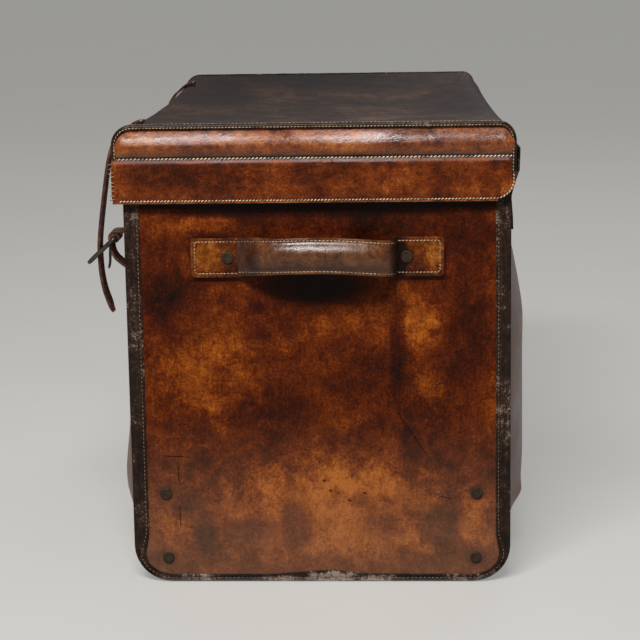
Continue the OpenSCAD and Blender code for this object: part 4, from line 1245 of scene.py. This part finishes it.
# Chapes: the leather goes round the heel bar, with a slot for the tongue and a sleeve on each side
# of it, and its two plies are sewn on the front wall.
strap_shades = ((20, 11, 8), (42, 22, 15), (66, 37, 26), (92, 58, 42), (140, 104, 80))
strap_leather = leather("strap_leather", strap_shades, cloud=40, shine=0.4, gloss=0.3, lumps=0.2)
fold_course = [Vector(p) for p in ((12.6, 6.9), (8, 6.6), (4, 6.3))]
fold_course += [Vector((6.2 * math.cos(a), 6.2 * math.sin(a)))
                for a in spread(math.pi / 2, 3.5, 12)]
fold_course += [Vector(p) for p in (
    (-4.9, -6.4), (-4.6, -9), (-4.5, -12), (-3.9, -15), (-2.6, -18.5), (0, -22.4), (3.4, -25.4),
    (7, -28.4), (10.8, -31.2), (12, -33.4))]


def fold_point(u, v):
    i = round(v * (len(fold_course) - 1))
    place, run = fold_course[i], heading(fold_course, i)
    across = (-1, -0.82, -0.55, -0.245, 0.245, 0.55, 0.82, 1)[round(u * 7)]
    return Vector((bar.x + place.x + run.y * 1.3, chape_y + chape_half * across,
                   bar.z + place.y - run.x * 1.3))


fold = sheet(7, len(fold_course) - 1, fold_point)
middles = ((face, face.calc_center_median()) for face in fold.faces)
bmesh.ops.delete(fold, context="FACES", geom=[
    face for face, middle in middles if abs(middle.y - chape_y) < 1
    and middle.z > bar.z - 13.6 and middle.x < bar.x + 9])
thicken(fold, 2.6, 0.5)
bmesh.ops.recalc_face_normals(fold, faces=fold.faces)


def wall_ply_point(u, v):
    z = chape_high.z + (chape_low.z - chape_high.z) * v
    return on_wall(-1, chape_y + chape_half * (2 * u - 1), z, 2.9)


join(fold, thicken(sheet(8, 20, wall_ply_point), 2.6, 0.5))
for near, far in ((-chape_half + 0.3, -2.9), (2.9, chape_half - 0.3)):
    sleeve = sweep(spread(0, 2 * math.pi, 20)[:-1], round_y(
        ((2.45, near), (2.45, far), (4.95, far), (4.95, near))), loop=True)
    sleeve.transform(Matrix.Translation(bar))
    join(fold, sleeve)
both_ends("chape_fold", fold, strap_leather, "trunk", "strap_leather", "right_chape")
chape_rows = [[on_wall(-1, chape_y + y, z, 3.0) for z in spread(chape_high.z - 2, bar.z + 9, 3)]
              for y in (-8.6, 8.6)]
sewn("chape_stitches", chape_rows, (-1, 0, 0), pale_thread, "trunk", "strap_leather",
     length=2.4, slant=0.1)

# Straps: each is sewn on the lid's front edge and hangs down in front of its buckle, with a
# pointed end and a row of holes.
root = Vector(joint_mm("right_strap_flex"))
strap_low, strap_high = edges_mm("right_strap_tail")
strap_y = (strap_low.y + strap_high.y) / 2
strap_half = (strap_high.y - strap_low.y) / 2
strap_t = 2.8
over_r = lid_r + 0.3 + strap_t / 2
strap_course = [Vector((x, lid_top - lid_r + over_r - lid_sag(x, strap_y, lid_top)))
                for x in spread(-180, -lid_flat, 5)]
strap_course += [Vector((-lid_flat - over_r * math.sin(a), lid_top - lid_r + over_r * math.cos(a)
                         - lid_sag(lid_flat, strap_y, lid_top)))
                 for a in spread(0, math.pi / 4, 6)[1:]]
risen = strap_course[-1].y - root.z
strap_course += curve_through([
    Vector((root.x - out, root.z - down + risen * max(0, 1 - down / 30))) for out, down in (
        (0, 0), (3.4, 3), (10, 8.5), (16.6, 17.6), (20.5, 29), (23.5, 43), (26.8, 62), (30.3, 83),
        (33.4, 103), (35.4, 120), (35.8, 136), (35.2, 152), (32.6, 169), (27, 187),
        (24, 193.5))], 140)[1:]
last = len(strap_course) - 1


def strap_point(u, v):
    i = round(v * last)
    middle, run = strap_course[i], heading(strap_course, i)
    from_tip = max(0, middle.y - strap_course[last].y)
    half = strap_half * (0.4 + 0.6 * math.sin(min(1, from_tip / 11) * math.pi / 2))
    across = (2 * u - 1) * half
    curl = 0.8 * ramp(root.z - middle.y, 60, 180) * (across / strap_half) ** 2
    lift = strap_t / 2 - curl
    return Vector((middle.x + run.y * lift, strap_y + across, middle.y - run.x * lift))


strap = sheet(8, last, strap_point)
for hole_z in (root.z - 100 - 22 * k for k in range(4)):
    row = min(range(last + 1), key=lambda i: abs(strap_course[i].y - hole_z))
    centre = strap_point(0.5, row / last)
    middle = min(strap.verts, key=lambda vert: (vert.co - centre).length)
    along = (strap_course[row + 1] - strap_course[row - 1]).normalized()
    for vert in {v for face in middle.link_faces for v in face.verts if v is not middle}:
        offset = vert.co - centre
        flat = Vector((offset.y, offset.x * along.x + offset.z * along.y)).normalized() * 2.25
        vert.co = centre + Vector((along.x * flat.y, flat.x, along.y * flat.y))
    bmesh.ops.delete(strap, geom=[middle], context="VERTS")
thicken(strap, strap_t, 0.6)
bmesh.ops.recalc_face_normals(strap, faces=strap.faces)
for end, bm, y in (("right", strap, strap_y), ("left", mirrored(strap), -strap_y)):
    nodes = [end + "_strap_tail"] + ["strap_roots"] * (end == "right")
    piece = make_piece(end + "_strap", bm, strap_leather, None, "strap_leather", nodes)
    end + "_strap"
    y * MM
    y * MM
    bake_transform(piece)
root_rows = [[Vector((p.x, strap_y + y, p.y + strap_t / 2)) for p in strap_course[:6]]
             for y in (-7.6, 7.6)]
root_rows += [[Vector((-182, strap_y + y, strap_course[0].y + strap_t / 2)) for y in (-7.6, 7.6)]]
sewn("strap_stitches", root_rows, (0, 0, 1), pale_thread, "lid", "strap_leather", length=2.4,
     slant=0.1)
